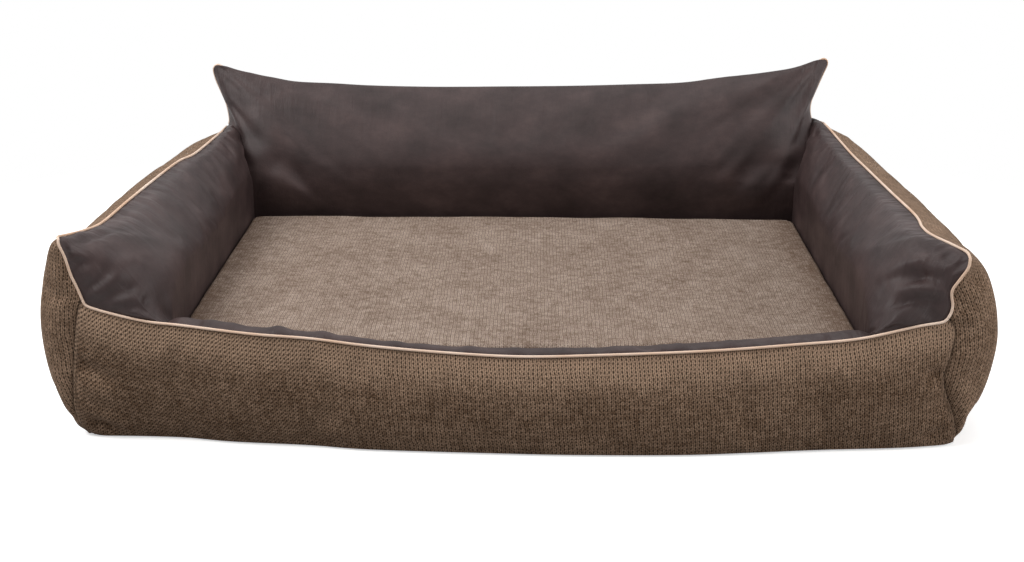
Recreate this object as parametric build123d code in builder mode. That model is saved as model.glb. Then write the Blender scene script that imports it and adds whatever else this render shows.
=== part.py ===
from build123d import *

import os

os.makedirs("parts", exist_ok=True)

# Orthopedic sofa bed for a dog, in millimetres. The front is at -Y, the back at +Y and
# the floor at Z = 0. Right and left are as seen from the front.

# Whole bed
bed_width = 1180.0
bed_depth = 900.0
arm_width = 162.0
arm_height = 252.0
front_bow = 50.0
front_corner_height = 172.0
front_middle_height = 124.0
back_middle_height = 312.0
back_ear_height = 351.0
mattress_height = 124.0

# Cloth, seams and fits
skin = 3.5
seam_gap = 0.3
filling_ease = 1.0
lift_gap = 3.0
layer_gap = 0.3
overrun = 20.0
base_thickness = 3.0
piping_radius = 1.7
piping_gap = 0.8
piping_lean_share = (0.45, 0.89)
piping_bend = 6.0
piping_tip_bend = 2.6

# Arm cross section, read outwards from the lying space. The shares place a point of the
# section between its neighbours, across and up.
arm_foot_tuck = 50.0
arm_swell_share = 0.56
arm_lower_share = (0.42, 0.27)
arm_upper_share = (0.30, 0.85)
shoulder_width = 20.0
shoulder_height_share = 0.87
shoulder_crown = 20.0
inner_swell = 8.0
inner_waist_share = 0.5

# The seam over an arm is a straight line in plan, set in from the widest point
seam_front_inset = 45.0
seam_rear_inset = 94.0

# Stations down an arm: share of its length, how far the swell stands in, and how far
# the top comes down. The first ones round the front end off.
swell_inset = 45.0
top_drop = 18.0
arm_station_shares = (
    (0.000, 0.72, 1.00),
    (0.008, 0.45, 0.50),
    (0.024, 0.25, 0.16),
    (0.060, 0.10, 0.02),
    (0.150, 0.02, 0.00),
    (0.400, 0.00, 0.05),
    (0.620, 0.16, 0.07),
    (0.820, 0.50, 0.05),
    (1.000, 1.00, 0.00),
)

# Front wall
front_foot_tuck = 6.0
front_top_tuck = 5.0
front_swell_share = 0.55
front_middle_depth = 47.0
front_corner_depth = 73.0
front_inner_middle_height = 122.0
front_inner_corner_height = 129.0
front_crown = 5.0
front_station_shares = (-1.0, -0.8, -0.6, -0.4, -0.2, 0.0, 0.2, 0.4, 0.6, 0.8, 1.0)

# Back cushion
back_foot_depth = 144.0
back_belly_depth = 164.0
back_belly_height = 140.0
back_seam_depth = 58.0
back_rear_shoulder_height = 200.0
back_ear_inset = 94.0
back_waist_inset = 113.0
back_waist_height = 258.0
back_corner_radius = 60.0
back_side_fit = 0.6
back_tip_inset = 2.4
back_foot_share = (0.72, 0.45)
back_face_share = (0.24, 0.60)
back_ear_thinning_share = 0.17
back_rear_share = (0.75, 0.35)
back_waist_share = (0.36, 0.66)
back_ear_share = (0.12, 0.50)
back_station_shares = (-1.0, -0.88, -0.7, -0.48, -0.24, 0.0, 0.24, 0.48, 0.7, 0.88, 1.0)

# Mattress
mattress_corner_radius = 26.0
mattress_edge_radius = 14.0
mattress_rear_gap = 9.0
mattress_crown = 4.0
mattress_band_height = 26.0
cover_thickness = 2.5
liner_thickness = 0.8
memory_foam_height = 42.0
rear_zip_room = 5.0

# Zips: two tapes with a coil each, stops, a slider and its pull
zip_slot_half = 4.5
tape_thickness = 0.7
tape_half_height = 11.0
coil_half_gap = 0.9
coil_half_height = 3.0
coil_depth = 1.6
slider_length = 12.0
slider_half_height = 4.0
slider_plate = 1.5
slider_neck_half = 0.5
slider_corner_radius = 1.6
arch_half_length = 4.6
arch_half_width = 0.8
arch_bar = 1.0
pull_bar_radius = 0.6
pull_play = 0.35
pull_length = 15.0
pull_window = 6.6
pull_half_width = 3.0
pull_tip_radius = 2.2
stop_length = 3.6
stop_gap = 0.6
pocket_margin = 3.0
back_zip_end_inset = 210.0
back_zip_height = 42.0
mattress_zip_end_inset = 95.0

# Places that follow from the sizes above
swell_x = bed_width / 2
inner_x = swell_x - arm_width
seam_front_x = swell_x - seam_front_inset
seam_rear_x = swell_x - seam_rear_inset
seam_rear_y = bed_depth / 2 - back_seam_depth
front_corner_y = -bed_depth / 2 + front_bow
front_inner_middle_y = -bed_depth / 2 + front_middle_depth
front_inner_corner_y = front_corner_y + front_corner_depth
cap_y = front_corner_y + front_foot_tuck + skin + seam_gap
cap_slant = front_bow * (1 - (inner_x / seam_front_x) ** 2)
arm_front_y = cap_y - cap_slant
arm_length = seam_rear_y - arm_front_y
arm_swell_z = arm_height * arm_swell_share
zip_reach = coil_depth + layer_gap + slider_plate + 2 * (pull_play + pull_bar_radius)
back_rear_y = bed_depth / 2 - zip_reach - arch_bar + skin
back_seam_y = seam_rear_y
back_swell_x = swell_x - swell_inset - skin - back_side_fit
back_foot_x = back_swell_x - arm_foot_tuck
back_foot_y = bed_depth / 2 - back_foot_depth
back_belly_y = bed_depth / 2 - back_belly_depth
back_ear_x = swell_x - back_ear_inset
back_waist_x = swell_x - back_waist_inset
back_zip_half_length = swell_x - back_zip_end_inset
mattress_half_width = inner_x - lift_gap
mattress_rear_y = back_belly_y - mattress_rear_gap
mattress_zip_half_length = mattress_half_width - mattress_zip_end_inset


def export(part, name):
    part.label = name
    export_step(part, f"parts/{name}.step")


def between(start, end, shares):
    """The point a share of the way across and a share of the way up from start to end."""
    across, up = shares
    return (start[0] + (end[0] - start[0]) * across, start[1] + (end[1] - start[1]) * up)


# Arms


def arm_section(share, swell_share, drop_share, inset):
    """Closed outline of the right arm at one station, drawn in from the cloth by inset."""
    y = arm_front_y + arm_length * share
    seam_share = max(0.0, (y - cap_y) / (seam_rear_y - cap_y))
    drop = top_drop * drop_share + inset
    outer = swell_x - swell_inset * swell_share - inset
    inner = inner_x + inset
    foot = (outer - arm_foot_tuck, base_thickness)
    swell = (outer, arm_swell_z)
    seam_x = seam_front_x + (seam_rear_x - seam_front_x) * seam_share - inset
    seam = (seam_x, arm_height - drop)
    shoulder = (inner + shoulder_width, arm_height * shoulder_height_share - drop)
    waist = (inner, arm_height * inner_waist_share)
    crest = ((seam[0] + shoulder[0]) / 2, (seam[1] + shoulder[1]) / 2 + shoulder_crown)
    inside = (inner + inner_swell, (shoulder[1] + waist[1]) / 2 + inner_swell)
    lower = (outer - arm_foot_tuck * arm_lower_share[0], arm_height * arm_lower_share[1])
    upper = (outer - (outer - seam_x) * arm_upper_share[0], seam[1] * arm_upper_share[1])
    with BuildSketch(Plane.XZ.offset(-y)) as section:
        with BuildLine():
            Line((inner, base_thickness), foot)
            ThreePointArc(foot, lower, swell)
            ThreePointArc(swell, upper, seam)
            ThreePointArc(seam, crest, shoulder)
            ThreePointArc(shoulder, inside, waist)
            Line(waist, (inner, base_thickness))
        make_face()
    return section.sketch


def upright_plane(start, end):
    """Upright plane through two points in plan, with its front on their right."""
    along = Vector(end[0] - start[0], end[1] - start[1], 0).normalized()
    return Plane(origin=(*start, 0), x_dir=along, z_dir=along.cross(Vector(0, 0, 1)))


cap_plane = upright_plane((inner_x, arm_front_y), (seam_front_x, cap_y))
seam_plane = upright_plane((seam_front_x, cap_y), (seam_rear_x, seam_rear_y))


def arm_form(inset):
    """The stuffed right arm as one solid, its front end cut along the front wall."""
    sections = [arm_section(*station, inset) for station in arm_station_shares]
    with BuildPart() as form:
        loft(sections=sections, ruled=True)
        split(bisect_by=cap_plane.offset(-inset), keep=Keep.BOTTOM)
    return form.part


def behind_back_face(gap):
    """All that lies behind the front face of the back cushion, over the whole width."""
    belly = (back_belly_y - gap, back_belly_height)
    top = (back_seam_y - gap, back_middle_height)
    with BuildPart() as cut:
        with BuildSketch(Plane.YZ.offset(-swell_x)):
            with BuildLine():
                ThreePointArc(belly, between(belly, top, back_face_share), top)
                Polyline(
                    top,
                    (bed_depth, back_middle_height),
                    (bed_depth, -overrun),
                    (belly[0], -overrun),
                    belly,
                )
            make_face()
        extrude(amount=2 * swell_x)
    return cut.part


arm_outside = arm_form(0)
arm_hollow = arm_form(skin)
arm_end_cut = behind_back_face(seam_gap)

with BuildPart() as right_arm_leather:
    add(arm_outside)
    split(bisect_by=seam_plane.offset(-seam_gap / 2), keep=Keep.BOTTOM)
    add(arm_hollow, mode=Mode.SUBTRACT)
    add(arm_end_cut, mode=Mode.SUBTRACT)

with BuildPart() as right_side_cloth:
    add(arm_outside)
    split(bisect_by=seam_plane.offset(seam_gap / 2), keep=Keep.TOP)
    add(arm_hollow, mode=Mode.SUBTRACT)

with BuildPart() as right_arm_filling:
    add(arm_form(skin + filling_ease))
    add(arm_end_cut, mode=Mode.SUBTRACT)


def piping(path):
    """A round cord swept along an edge."""
    with BuildPart() as cord:
        with BuildSketch(Plane(origin=path @ 0, z_dir=path % 0)):
            Circle(piping_radius)
        sweep(path=path)
    return cord.part


piping_lift = piping_radius + piping_gap
arm_piping_out = piping_lift * piping_lean_share[0]
arm_piping_z = arm_height + piping_lift * piping_lean_share[1]
front_piping_y = front_corner_y + front_top_tuck + skin / 2
corner_piping_y = cap_y - piping_lift

with BuildLine() as arm_piping_line:
    FilletPolyline(
        (seam_rear_x + arm_piping_out, seam_rear_y, arm_piping_z),
        (seam_front_x + arm_piping_out, corner_piping_y, arm_piping_z),
        (seam_front_x + arm_piping_out, corner_piping_y, front_corner_height + 2 * piping_lift),
        radius=piping_bend,
    )

with BuildPart() as right_arm_piping:
    add(piping(arm_piping_line.line))

for name, right_part in (
    ("arm_leather", right_arm_leather),
    ("side_cloth", right_side_cloth),
    ("arm_filling", right_arm_filling),
    ("arm_piping", right_arm_piping),
):
    with BuildPart() as left_part:
        mirror(right_part.part, about=Plane.YZ)
    export(right_part.part, f"right_{name}")
    export(left_part.part, f"left_{name}")

# Front wall


def front_bow_share(x):
    return 1 - (x / seam_front_x) ** 2


def front_wall_places(x):
    """Face of the wall, its height, and the top edge of its inner face, at one x."""
    bow = front_bow_share(x)
    inner_bow = 1 - (x / inner_x) ** 2
    face_y = front_corner_y - front_bow * bow
    height = front_corner_height + (front_middle_height - front_corner_height) * bow
    inner_y = front_inner_corner_y + (front_inner_middle_y - front_inner_corner_y) * inner_bow
    inner_height = front_inner_corner_height
    inner_height += (front_inner_middle_height - front_inner_corner_height) * inner_bow
    return face_y, height, inner_y, inner_height


def front_cloth_section(x):
    """The cloth panel of the front wall, cut across at one x."""
    face_y, height, _, _ = front_wall_places(x)
    foot = (face_y + front_foot_tuck, base_thickness)
    swell = (face_y, height * front_swell_share)
    top = (face_y + front_top_tuck, height)
    with BuildSketch(Plane.YZ.offset(x)) as section:
        with BuildLine():
            ThreePointArc(foot, swell, top)
            Line(top, (top[0] + skin, top[1]))
            ThreePointArc(
                (top[0] + skin, top[1]), (swell[0] + skin, swell[1]), (foot[0] + skin, foot[1])
            )
            Line((foot[0] + skin, foot[1]), foot)
        make_face()
    return section.sketch


def front_body_section(x, inset, hollow):
    """The front wall inside its cloth panel: its leather as a strip, or its filling."""
    face_y, height, inner_y, inner_height = front_wall_places(x)
    seam_y = face_y + front_top_tuck + skin + 2 * seam_gap + inset
    seam = (seam_y, height - inset)
    edge = (inner_y - inset, inner_height - inset)
    crown = ((seam[0] + edge[0]) / 2, (seam[1] + edge[1]) / 2 + front_crown)
    with BuildSketch(Plane.YZ.offset(x)) as section:
        with BuildLine():
            ThreePointArc(seam, crown, edge)
            Line(edge, (edge[0], base_thickness))
            if hollow:
                seam_under = (seam[0], seam[1] - skin)
                edge_under = (edge[0] - skin, edge[1] - skin)
                Line((edge[0], base_thickness), (edge_under[0], base_thickness))
                Line((edge_under[0], base_thickness), edge_under)
                ThreePointArc(edge_under, (crown[0] - skin / 2, crown[1] - skin), seam_under)
                Line(seam_under, seam)
            else:
                foot_y = face_y + front_foot_tuck + skin + filling_ease
                Line((edge[0], base_thickness), (foot_y, base_thickness))
                Line((foot_y, base_thickness), seam)
        make_face()
    return section.sketch


front_inner_reach = inner_x - seam_gap
front_inner_stations = [front_inner_reach * share for share in front_station_shares]

with BuildPart() as front_cloth:
    loft(
        sections=[front_cloth_section(seam_front_x * share) for share in front_station_shares],
        ruled=True,
    )

with BuildPart() as front_leather:
    loft(sections=[front_body_section(x, 0, True) for x in front_inner_stations], ruled=True)

with BuildPart() as front_filling:
    loft(
        sections=[
            front_body_section(x, skin + filling_ease, False) for x in front_inner_stations
        ],
        ruled=True,
    )

with BuildLine() as front_piping_line:
    ThreePointArc(
        (-seam_front_x, front_piping_y, front_corner_height + piping_lift),
        (0, front_piping_y - front_bow, front_middle_height + piping_lift),
        (seam_front_x, front_piping_y, front_corner_height + piping_lift),
    )

with BuildPart() as front_piping:
    add(piping(front_piping_line.line))

export(front_cloth.part, "front_cloth")
export(front_leather.part, "front_leather")
export(front_filling.part, "front_filling")
export(front_piping.part, "front_piping")

# Back cushion


def back_section(x, inset):
    """The back cushion cut across at one x, before its ends are shaped."""
    ear = (x / back_ear_x) ** 2
    top_height = back_middle_height + (back_ear_height - back_middle_height) * ear
    foot = (back_foot_y + inset, base_thickness)
    belly = (back_belly_y + inset, back_belly_height)
    seam = (back_seam_y, top_height - back_tip_inset * inset)
    shoulder = (back_rear_y - inset, back_rear_shoulder_height)
    heel = (back_rear_y - inset, base_thickness)
    face_share = back_face_share[0] + back_ear_thinning_share * ear
    with BuildSketch(Plane.YZ.offset(x)) as section:
        with BuildLine():
            ThreePointArc(foot, between(foot, belly, back_foot_share), belly)
            ThreePointArc(belly, between(belly, seam, (face_share, back_face_share[1])), seam)
            ThreePointArc(seam, between(seam, shoulder, back_rear_share), shoulder)
            Line(shoulder, heel)
            Line(heel, foot)
        make_face()
    return section.sketch


def back_form(inset):
    """The stuffed back cushion as one solid: drawn-in waist, ears and rounded corners."""
    swell = (back_swell_x - inset, arm_swell_z)
    foot = (back_foot_x - inset, base_thickness)
    lower = (swell[0] - arm_foot_tuck * arm_lower_share[0], arm_height * arm_lower_share[1])
    waist = (back_waist_x - inset, back_waist_height)
    ear = (back_ear_x - inset, back_ear_height)
    with BuildPart() as form:
        loft(
            sections=[back_section(swell_x * share, inset) for share in back_station_shares],
            ruled=True,
        )
        with BuildSketch(Plane.XZ.offset(-bed_depth / 2)):
            with BuildLine():
                Line((0, base_thickness), foot)
                ThreePointArc(foot, lower, swell)
                ThreePointArc(swell, between(swell, waist, back_waist_share), waist)
                ThreePointArc(waist, between(waist, ear, back_ear_share), ear)
                Polyline(ear, (ear[0], ear[1] + overrun), (0, ear[1] + overrun))
                mirror(about=Plane.YZ)
            make_face()
        extrude(amount=bed_depth, mode=Mode.INTERSECT)
        with BuildSketch() as plan:
            with Locations((0, back_rear_y - inset)):
                plan_width = 2 * (swell[0] + back_side_fit)
                Rectangle(plan_width, back_rear_y, align=(Align.CENTER, Align.MAX))
            rear_corners = plan.vertices().group_by(Axis.Y)[-1]
            fillet(rear_corners, radius=back_corner_radius - inset)
        extrude(amount=back_ear_height + overrun, mode=Mode.INTERSECT)
    return form.part


class ZipPlaces:
    """Levels of a zip, measured outwards from the outer face of the cloth it closes."""

    def __init__(self, face_y, line_z, half_length, wall):
        self.face_y = face_y
        self.line_z = line_z
        self.half_length = half_length
        self.full_half_length = half_length + stop_gap + stop_length
        self.tape_face = -wall - layer_gap
        self.tape_back = self.tape_face - tape_thickness
        self.coil_face = -wall + coil_depth
        self.slider_face = self.coil_face + layer_gap + slider_plate
        self.slider_back = self.tape_back - layer_gap - slider_plate
        self.bar = self.slider_face + pull_play + pull_bar_radius
        self.arch_inside = self.bar + pull_bar_radius + pull_play
        self.slider_x = -half_length + slider_length / 2 + layer_gap

    def plane(self, level, x=0):
        """Plane facing out of the cloth, with X along the zip and Y up."""
        return Plane(
            origin=(x, self.face_y + level, self.line_z), x_dir=(-1, 0, 0), z_dir=(0, 1, 0)
        )


def zip_bar(places, half_length, half_height, low, high):
    """A straight bar centred on the zip, from one level to another."""
    with BuildPart() as bar:
        with BuildSketch(places.plane(low)):
            Rectangle(2 * half_length, 2 * half_height)
        extrude(amount=high - low)
    return bar.part


def zip_slot(places):
    return zip_bar(places, places.full_half_length + layer_gap, zip_slot_half, -overrun, overrun)


def zip_pair(places, half_length, low_z, high_z, low, high):
    """The same strip above and below the line where the two halves of the zip meet."""
    with BuildPart() as pair:
        with BuildSketch(places.plane(low)):
            with Locations((0, (low_z + high_z) / 2), (0, -(low_z + high_z) / 2)):
                Rectangle(2 * half_length, high_z - low_z)
        extrude(amount=high - low)
    return pair.part


def zip_tapes(places):
    return zip_pair(
        places,
        places.full_half_length,
        coil_half_gap,
        tape_half_height,
        places.tape_back,
        places.tape_face,
    )


def zip_coils(places):
    return zip_pair(
        places,
        places.half_length,
        coil_half_gap,
        coil_half_height,
        places.coil_face - coil_depth,
        places.coil_face,
    )


def zip_stops(places):
    """A metal stop across both coils at each end."""
    stop_x = places.half_length + stop_gap + stop_length / 2
    with BuildPart() as stops:
        with BuildSketch(places.plane(places.coil_face - coil_depth)):
            with Locations((stop_x, 0), (-stop_x, 0)):
                RectangleRounded(stop_length, 2 * coil_half_height, slider_corner_radius / 2)
        extrude(amount=coil_depth)
    return stops.part


def zip_slider(places):
    """Two plates joined by a neck between the coils, with an arch that holds the pull."""
    with BuildPart() as slider:
        for low in (places.slider_back, places.slider_face - slider_plate):
            with BuildSketch(places.plane(low, places.slider_x)):
                RectangleRounded(slider_length, 2 * slider_half_height, slider_corner_radius)
            extrude(amount=slider_plate)
        with BuildSketch(places.plane(places.slider_back, places.slider_x)):
            Rectangle(slider_length / 2, 2 * slider_neck_half)
        extrude(amount=places.slider_face - places.slider_back)
        with BuildSketch(places.plane(places.slider_face, places.slider_x)):
            Rectangle(2 * arch_half_length, 2 * arch_half_width)
        extrude(amount=places.arch_inside + arch_bar - places.slider_face)
        with BuildSketch(places.plane(places.slider_face, places.slider_x)):
            Rectangle(2 * (arch_half_length - arch_bar), 2 * arch_half_width)
        extrude(amount=places.arch_inside - places.slider_face, mode=Mode.SUBTRACT)
    return slider.part


def zip_pull(places):
    """A flat tab whose end bar turns under the arch. It lies along the closed zip."""
    tab_length = pull_length + pull_bar_radius
    window_length = pull_window - pull_bar_radius
    with BuildPart() as pull:
        with BuildSketch(places.plane(places.bar - pull_bar_radius, places.slider_x)):
            with Locations((pull_bar_radius - tab_length / 2, 0)):
                RectangleRounded(tab_length, 2 * pull_half_width, pull_tip_radius)
            with Locations((-pull_bar_radius - window_length / 2, 0)):
                Rectangle(window_length, pull_half_width, mode=Mode.SUBTRACT)
        extrude(amount=2 * pull_bar_radius)
    return pull.part


def export_zip(places, name):
    export(zip_tapes(places), f"{name}_tapes")
    export(zip_coils(places), f"{name}_coils")
    export(zip_stops(places), f"{name}_stops")
    export(zip_slider(places), f"{name}_slider")
    export(zip_pull(places), f"{name}_pull")


back_outside = back_form(0)
back_hollow = back_form(skin)
back_zip = ZipPlaces(back_rear_y, back_zip_height, back_zip_half_length, skin)
back_slot = zip_slot(back_zip)
back_pocket = zip_bar(
    back_zip,
    back_zip.full_half_length + pocket_margin,
    tape_half_height + pocket_margin,
    back_zip.slider_back - pocket_margin,
    overrun,
)

with BuildPart() as back_leather:
    add(back_outside)
    split(bisect_by=Plane.XZ.offset(-back_seam_y + seam_gap / 2), keep=Keep.TOP)
    add(back_hollow, mode=Mode.SUBTRACT)

with BuildPart() as back_cloth:
    add(back_outside)
    split(bisect_by=Plane.XZ.offset(-back_seam_y - seam_gap / 2), keep=Keep.BOTTOM)
    add(back_hollow, mode=Mode.SUBTRACT)
    add(back_slot, mode=Mode.SUBTRACT)

with BuildPart() as back_filling:
    add(back_form(skin + filling_ease))
    add(back_pocket, mode=Mode.SUBTRACT)

# The cords meet beyond the ear, where both stand the same way off the cushion's edges
waist_point = (back_waist_x, back_waist_height)
ear_point = (back_ear_x, back_ear_height)
ear_side = ThreePointArc(
    waist_point, between(waist_point, ear_point, back_ear_share), ear_point
)
side_normal = (ear_side % 1).rotate(Axis.Z, -90)
top_normal = Vector(-2 * (back_ear_height - back_middle_height) / back_ear_x, 1).normalized()
tip_offset = (side_normal + top_normal) * (piping_lift / (1 + side_normal.dot(top_normal)))
tip = (back_ear_x + tip_offset.X, back_ear_height + tip_offset.Y)
cord_foot = (back_waist_x + piping_lift, back_waist_height + 2 * piping_lift)

with BuildLine(Plane.XZ.offset(-back_seam_y)) as back_piping_line:
    ThreePointArc(cord_foot, between(cord_foot, tip, back_ear_share), tip)
    ThreePointArc(tip, (0, back_middle_height + piping_lift), (-tip[0], tip[1]))
    mirror(back_piping_line.edges()[0], about=Plane.YZ)
    fillet(back_piping_line.vertices().sort_by(Axis.Z)[-2:], radius=piping_tip_bend)

with BuildPart() as back_piping:
    add(piping(back_piping_line.wires()[0]))

export(back_leather.part, "back_leather")
export(back_cloth.part, "back_cloth")
export(back_filling.part, "back_filling")
export(back_piping.part, "back_piping")
export_zip(back_zip, "back_zip")

# Base

foot_x = swell_x - arm_foot_tuck
base_front_x = foot_x - swell_inset / 2
base_front_y = front_corner_y + front_foot_tuck
base_quarter, base_corner = (
    (x, base_front_y - front_bow * front_bow_share(x)) for x in (base_front_x / 2, base_front_x)
)

with BuildPart() as bottom_sheet:
    with BuildSketch() as base_plan:
        with BuildLine():
            ThreePointArc((0, base_front_y - front_bow), base_quarter, base_corner)
            ThreePointArc(
                base_corner,
                (foot_x, base_front_y / 2),
                (back_foot_x, back_rear_y - back_corner_radius),
            )
            TangentArc(
                (back_foot_x, back_rear_y - back_corner_radius),
                (back_foot_x - back_corner_radius, back_rear_y),
                tangent=(0, 1),
            )
            Line((back_foot_x - back_corner_radius, back_rear_y), (0, back_rear_y))
            mirror(about=Plane.YZ)
        make_face()
    extrude(amount=base_thickness)

export(bottom_sheet.part, "bottom_sheet")

# Mattress

mattress_foot_z = base_thickness + layer_gap
mattress_zip = ZipPlaces(
    mattress_rear_y, mattress_band_height, mattress_zip_half_length, cover_thickness
)
liner_inset = cover_thickness + layer_gap
foam_inset = liner_inset + liner_thickness + layer_gap
foam_foot_z = mattress_foot_z + foam_inset - liner_thickness - layer_gap
foam_split_z = mattress_height - mattress_crown - foam_inset - memory_foam_height


def mattress_plan(z, inset, rear_inset):
    """Plan of the mattress: straight sides and back, and a front bowed like the wall."""
    half_width = mattress_half_width - inset
    corner_y = front_inner_corner_y + lift_gap + inset
    middle_y = front_inner_middle_y + lift_gap + inset
    rear_y = mattress_rear_y - inset - rear_inset
    with BuildSketch(Plane.XY.offset(z)) as plan:
        with BuildLine():
            ThreePointArc((-half_width, corner_y), (0, middle_y), (half_width, corner_y))
            Polyline(
                (half_width, corner_y),
                (half_width, rear_y),
                (-half_width, rear_y),
                (-half_width, corner_y),
            )
        make_face()
        fillet(plan.vertices(), radius=mattress_corner_radius - inset)
    return plan.sketch


def mattress_slab(inset, rear_inset, low, high):
    """A flat slab of the mattress plan."""
    with BuildPart() as slab:
        add(mattress_plan(low, inset, rear_inset))
        extrude(amount=high - low)
    return slab.part


def crowned_slab(inset, rear_inset, low):
    """A slab up to the crowned lying face, with its top edge rounded."""
    top = mattress_height - inset
    edge_top = top - mattress_crown
    with BuildPart() as slab:
        add(mattress_plan(low, inset, rear_inset))
        extrude(amount=mattress_height)
        with BuildSketch(Plane.XZ.offset(-bed_depth / 2)):
            with BuildLine():
                crown = ThreePointArc((-swell_x, edge_top), (0, top), (swell_x, edge_top))
                Polyline(crown @ 1, (swell_x, low), (-swell_x, low), crown @ 0)
            make_face()
        extrude(amount=bed_depth, mode=Mode.INTERSECT)
        fillet(
            slab.faces().sort_by(Axis.Z)[-1].edges(), radius=mattress_edge_radius - inset
        )
    return slab.part


with BuildPart() as mattress_top_cover:
    add(crowned_slab(0, 0, mattress_band_height + seam_gap / 2))
    add(crowned_slab(cover_thickness, 0, mattress_band_height), mode=Mode.SUBTRACT)
    add(zip_slot(mattress_zip), mode=Mode.SUBTRACT)

with BuildPart() as mattress_base_cover:
    add(mattress_slab(0, 0, mattress_foot_z, mattress_band_height - seam_gap / 2))
    add(
        mattress_slab(
            cover_thickness, 0, mattress_foot_z + cover_thickness, mattress_band_height
        ),
        mode=Mode.SUBTRACT,
    )
    add(zip_slot(mattress_zip), mode=Mode.SUBTRACT)

with BuildPart() as mattress_liner:
    add(crowned_slab(liner_inset, rear_zip_room, foam_foot_z))
    add(
        crowned_slab(liner_inset + liner_thickness, rear_zip_room, foam_foot_z),
        mode=Mode.SUBTRACT,
    )

with BuildPart() as support_foam:
    add(mattress_slab(foam_inset, rear_zip_room, foam_foot_z, foam_split_z))

with BuildPart() as memory_foam:
    add(crowned_slab(foam_inset, rear_zip_room, foam_split_z + layer_gap))

export(mattress_top_cover.part, "mattress_top_cover")
export(mattress_base_cover.part, "mattress_base_cover")
export(mattress_liner.part, "mattress_liner")
export(support_foam.part, "support_foam")
export(memory_foam.part, "memory_foam")
export_zip(mattress_zip, "mattress_zip")
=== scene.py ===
import math

import bmesh
import bpy
import numpy as np
from bpy.props import FloatProperty, FloatVectorProperty, PointerProperty
from bpy.types import Operator, Panel, PropertyGroup
from mathutils import Matrix, Vector


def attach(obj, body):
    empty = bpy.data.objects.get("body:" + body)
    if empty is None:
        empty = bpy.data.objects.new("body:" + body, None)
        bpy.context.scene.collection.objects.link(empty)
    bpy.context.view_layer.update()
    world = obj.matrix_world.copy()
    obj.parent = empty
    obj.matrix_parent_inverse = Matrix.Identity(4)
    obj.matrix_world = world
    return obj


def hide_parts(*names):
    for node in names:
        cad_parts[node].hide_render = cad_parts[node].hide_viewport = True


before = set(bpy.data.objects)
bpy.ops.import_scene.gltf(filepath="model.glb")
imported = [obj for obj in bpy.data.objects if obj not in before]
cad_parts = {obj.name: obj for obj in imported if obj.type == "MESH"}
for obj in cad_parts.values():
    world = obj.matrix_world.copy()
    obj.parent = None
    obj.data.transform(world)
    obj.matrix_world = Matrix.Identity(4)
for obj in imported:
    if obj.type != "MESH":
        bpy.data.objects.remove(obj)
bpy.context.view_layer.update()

bl_info = {
    "name": "Orthopedic dog bed",
    "version": (1, 0, 0),
    "blender": (4, 5, 0),
    "location": "3D View > Sidebar > Dog Bed",
    "description": "Covers, piping, fillings, zips and foams of an orthopedic sofa bed for a dog",
    "category": "Object",
}

# Lengths in this file are millimetres in the bed's own frame: front at -Y, floor at Z = 0.
MM = 0.001

# The lines that the cloth is sewn along, from the front corner backwards or downwards.
# Key -1 is the left side and 1 the right: they differ, as on any sewn and stuffed bed.
RIM = {
    -1: [(-552, -411, 257), (-556, -396, 256), (-553, -372, 252), (-539, -340, 250), (-526, -301, 250),
         (-520, -179, 250), (-513, -59, 250), (-503, 74, 250), (-489, 137, 250), (-482, 265, 249),
         (-482, 330, 246), (-484, 391, 243)],
    1: [(539, -411, 241), (537, -398, 246), (524, -372, 249), (509, -330, 250), (506, -290, 250),
        (510, -226, 250), (504, -92, 250), (498, 58, 250), (494, 159, 250), (491, 265, 252),
        (487, 320, 256), (482, 358, 260), (480, 391, 257)],
}
CORNER_CORD = {
    -1: [(-552, -411, 257), (-551, -413, 250), (-545, -413, 235), (-539, -412, 212), (-532, -412, 195),
         (-527, -412, 181)],
    1: [(539, -411, 241), (537, -413, 230), (529, -413, 217), (521, -412, 204), (520, -411, 195),
        (522, -411, 184), (521, -412, 175), (517, -413, 167)],
}
CORNER_SEAM = {
    -1: [(-527, -412, 181), (-533, -412, 170), (-540, -409, 130), (-545, -408, 80), (-547, -405, 45),
         (-545, -401, 28), (-541, -397, 13), (-531, -392, 3)],
    1: [(517, -413, 167), (527, -412, 152), (523, -413, 120), (517, -413, 95), (522, -411, 70),
        (531, -408, 48), (539, -403, 20), (538, -397, 3)],
}
# Front wall, from left to right: its piping, and the foot of its cloth
FRONT_CORD = [
    (-527, -412, 181), (-520, -413, 173), (-485, -417, 164), (-446, -421, 157), (-408, -424, 154),
    (-322, -431, 146), (-250, -435, 142), (-185, -438, 135), (-93, -441, 128), (3, -443, 124),
    (100, -441, 126), (227, -437, 131), (336, -430, 138), (411, -424, 144), (481, -417, 158),
    (510, -413, 162), (517, -413, 167),
]
FRONT_FOOT = [
    (-531, -392, 3), (-421, -396, 3), (-351, -410, 3), (-255, -420, 3), (-174, -434, 3), (3, -444, 3),
    (90, -446, 3), (202, -443, 3), (286, -433, 3), (372, -421, 3), (469, -412, 3), (538, -397, 3),
]
# Back cushion, in section: height and place of its face, and share of its height and depth of
# its rear cloth
BACK_FACE = [
    (3, 308), (60, 303), (110, 297), (150, 289), (185, 285), (215, 287), (245, 298), (272, 319), (294, 346),
    (306, 369), (312, 392),
]
BACK_REAR = [(0, 52), (0.35, 54), (0.62, 52), (0.8, 43), (0.92, 27), (1, 0)]
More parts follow.
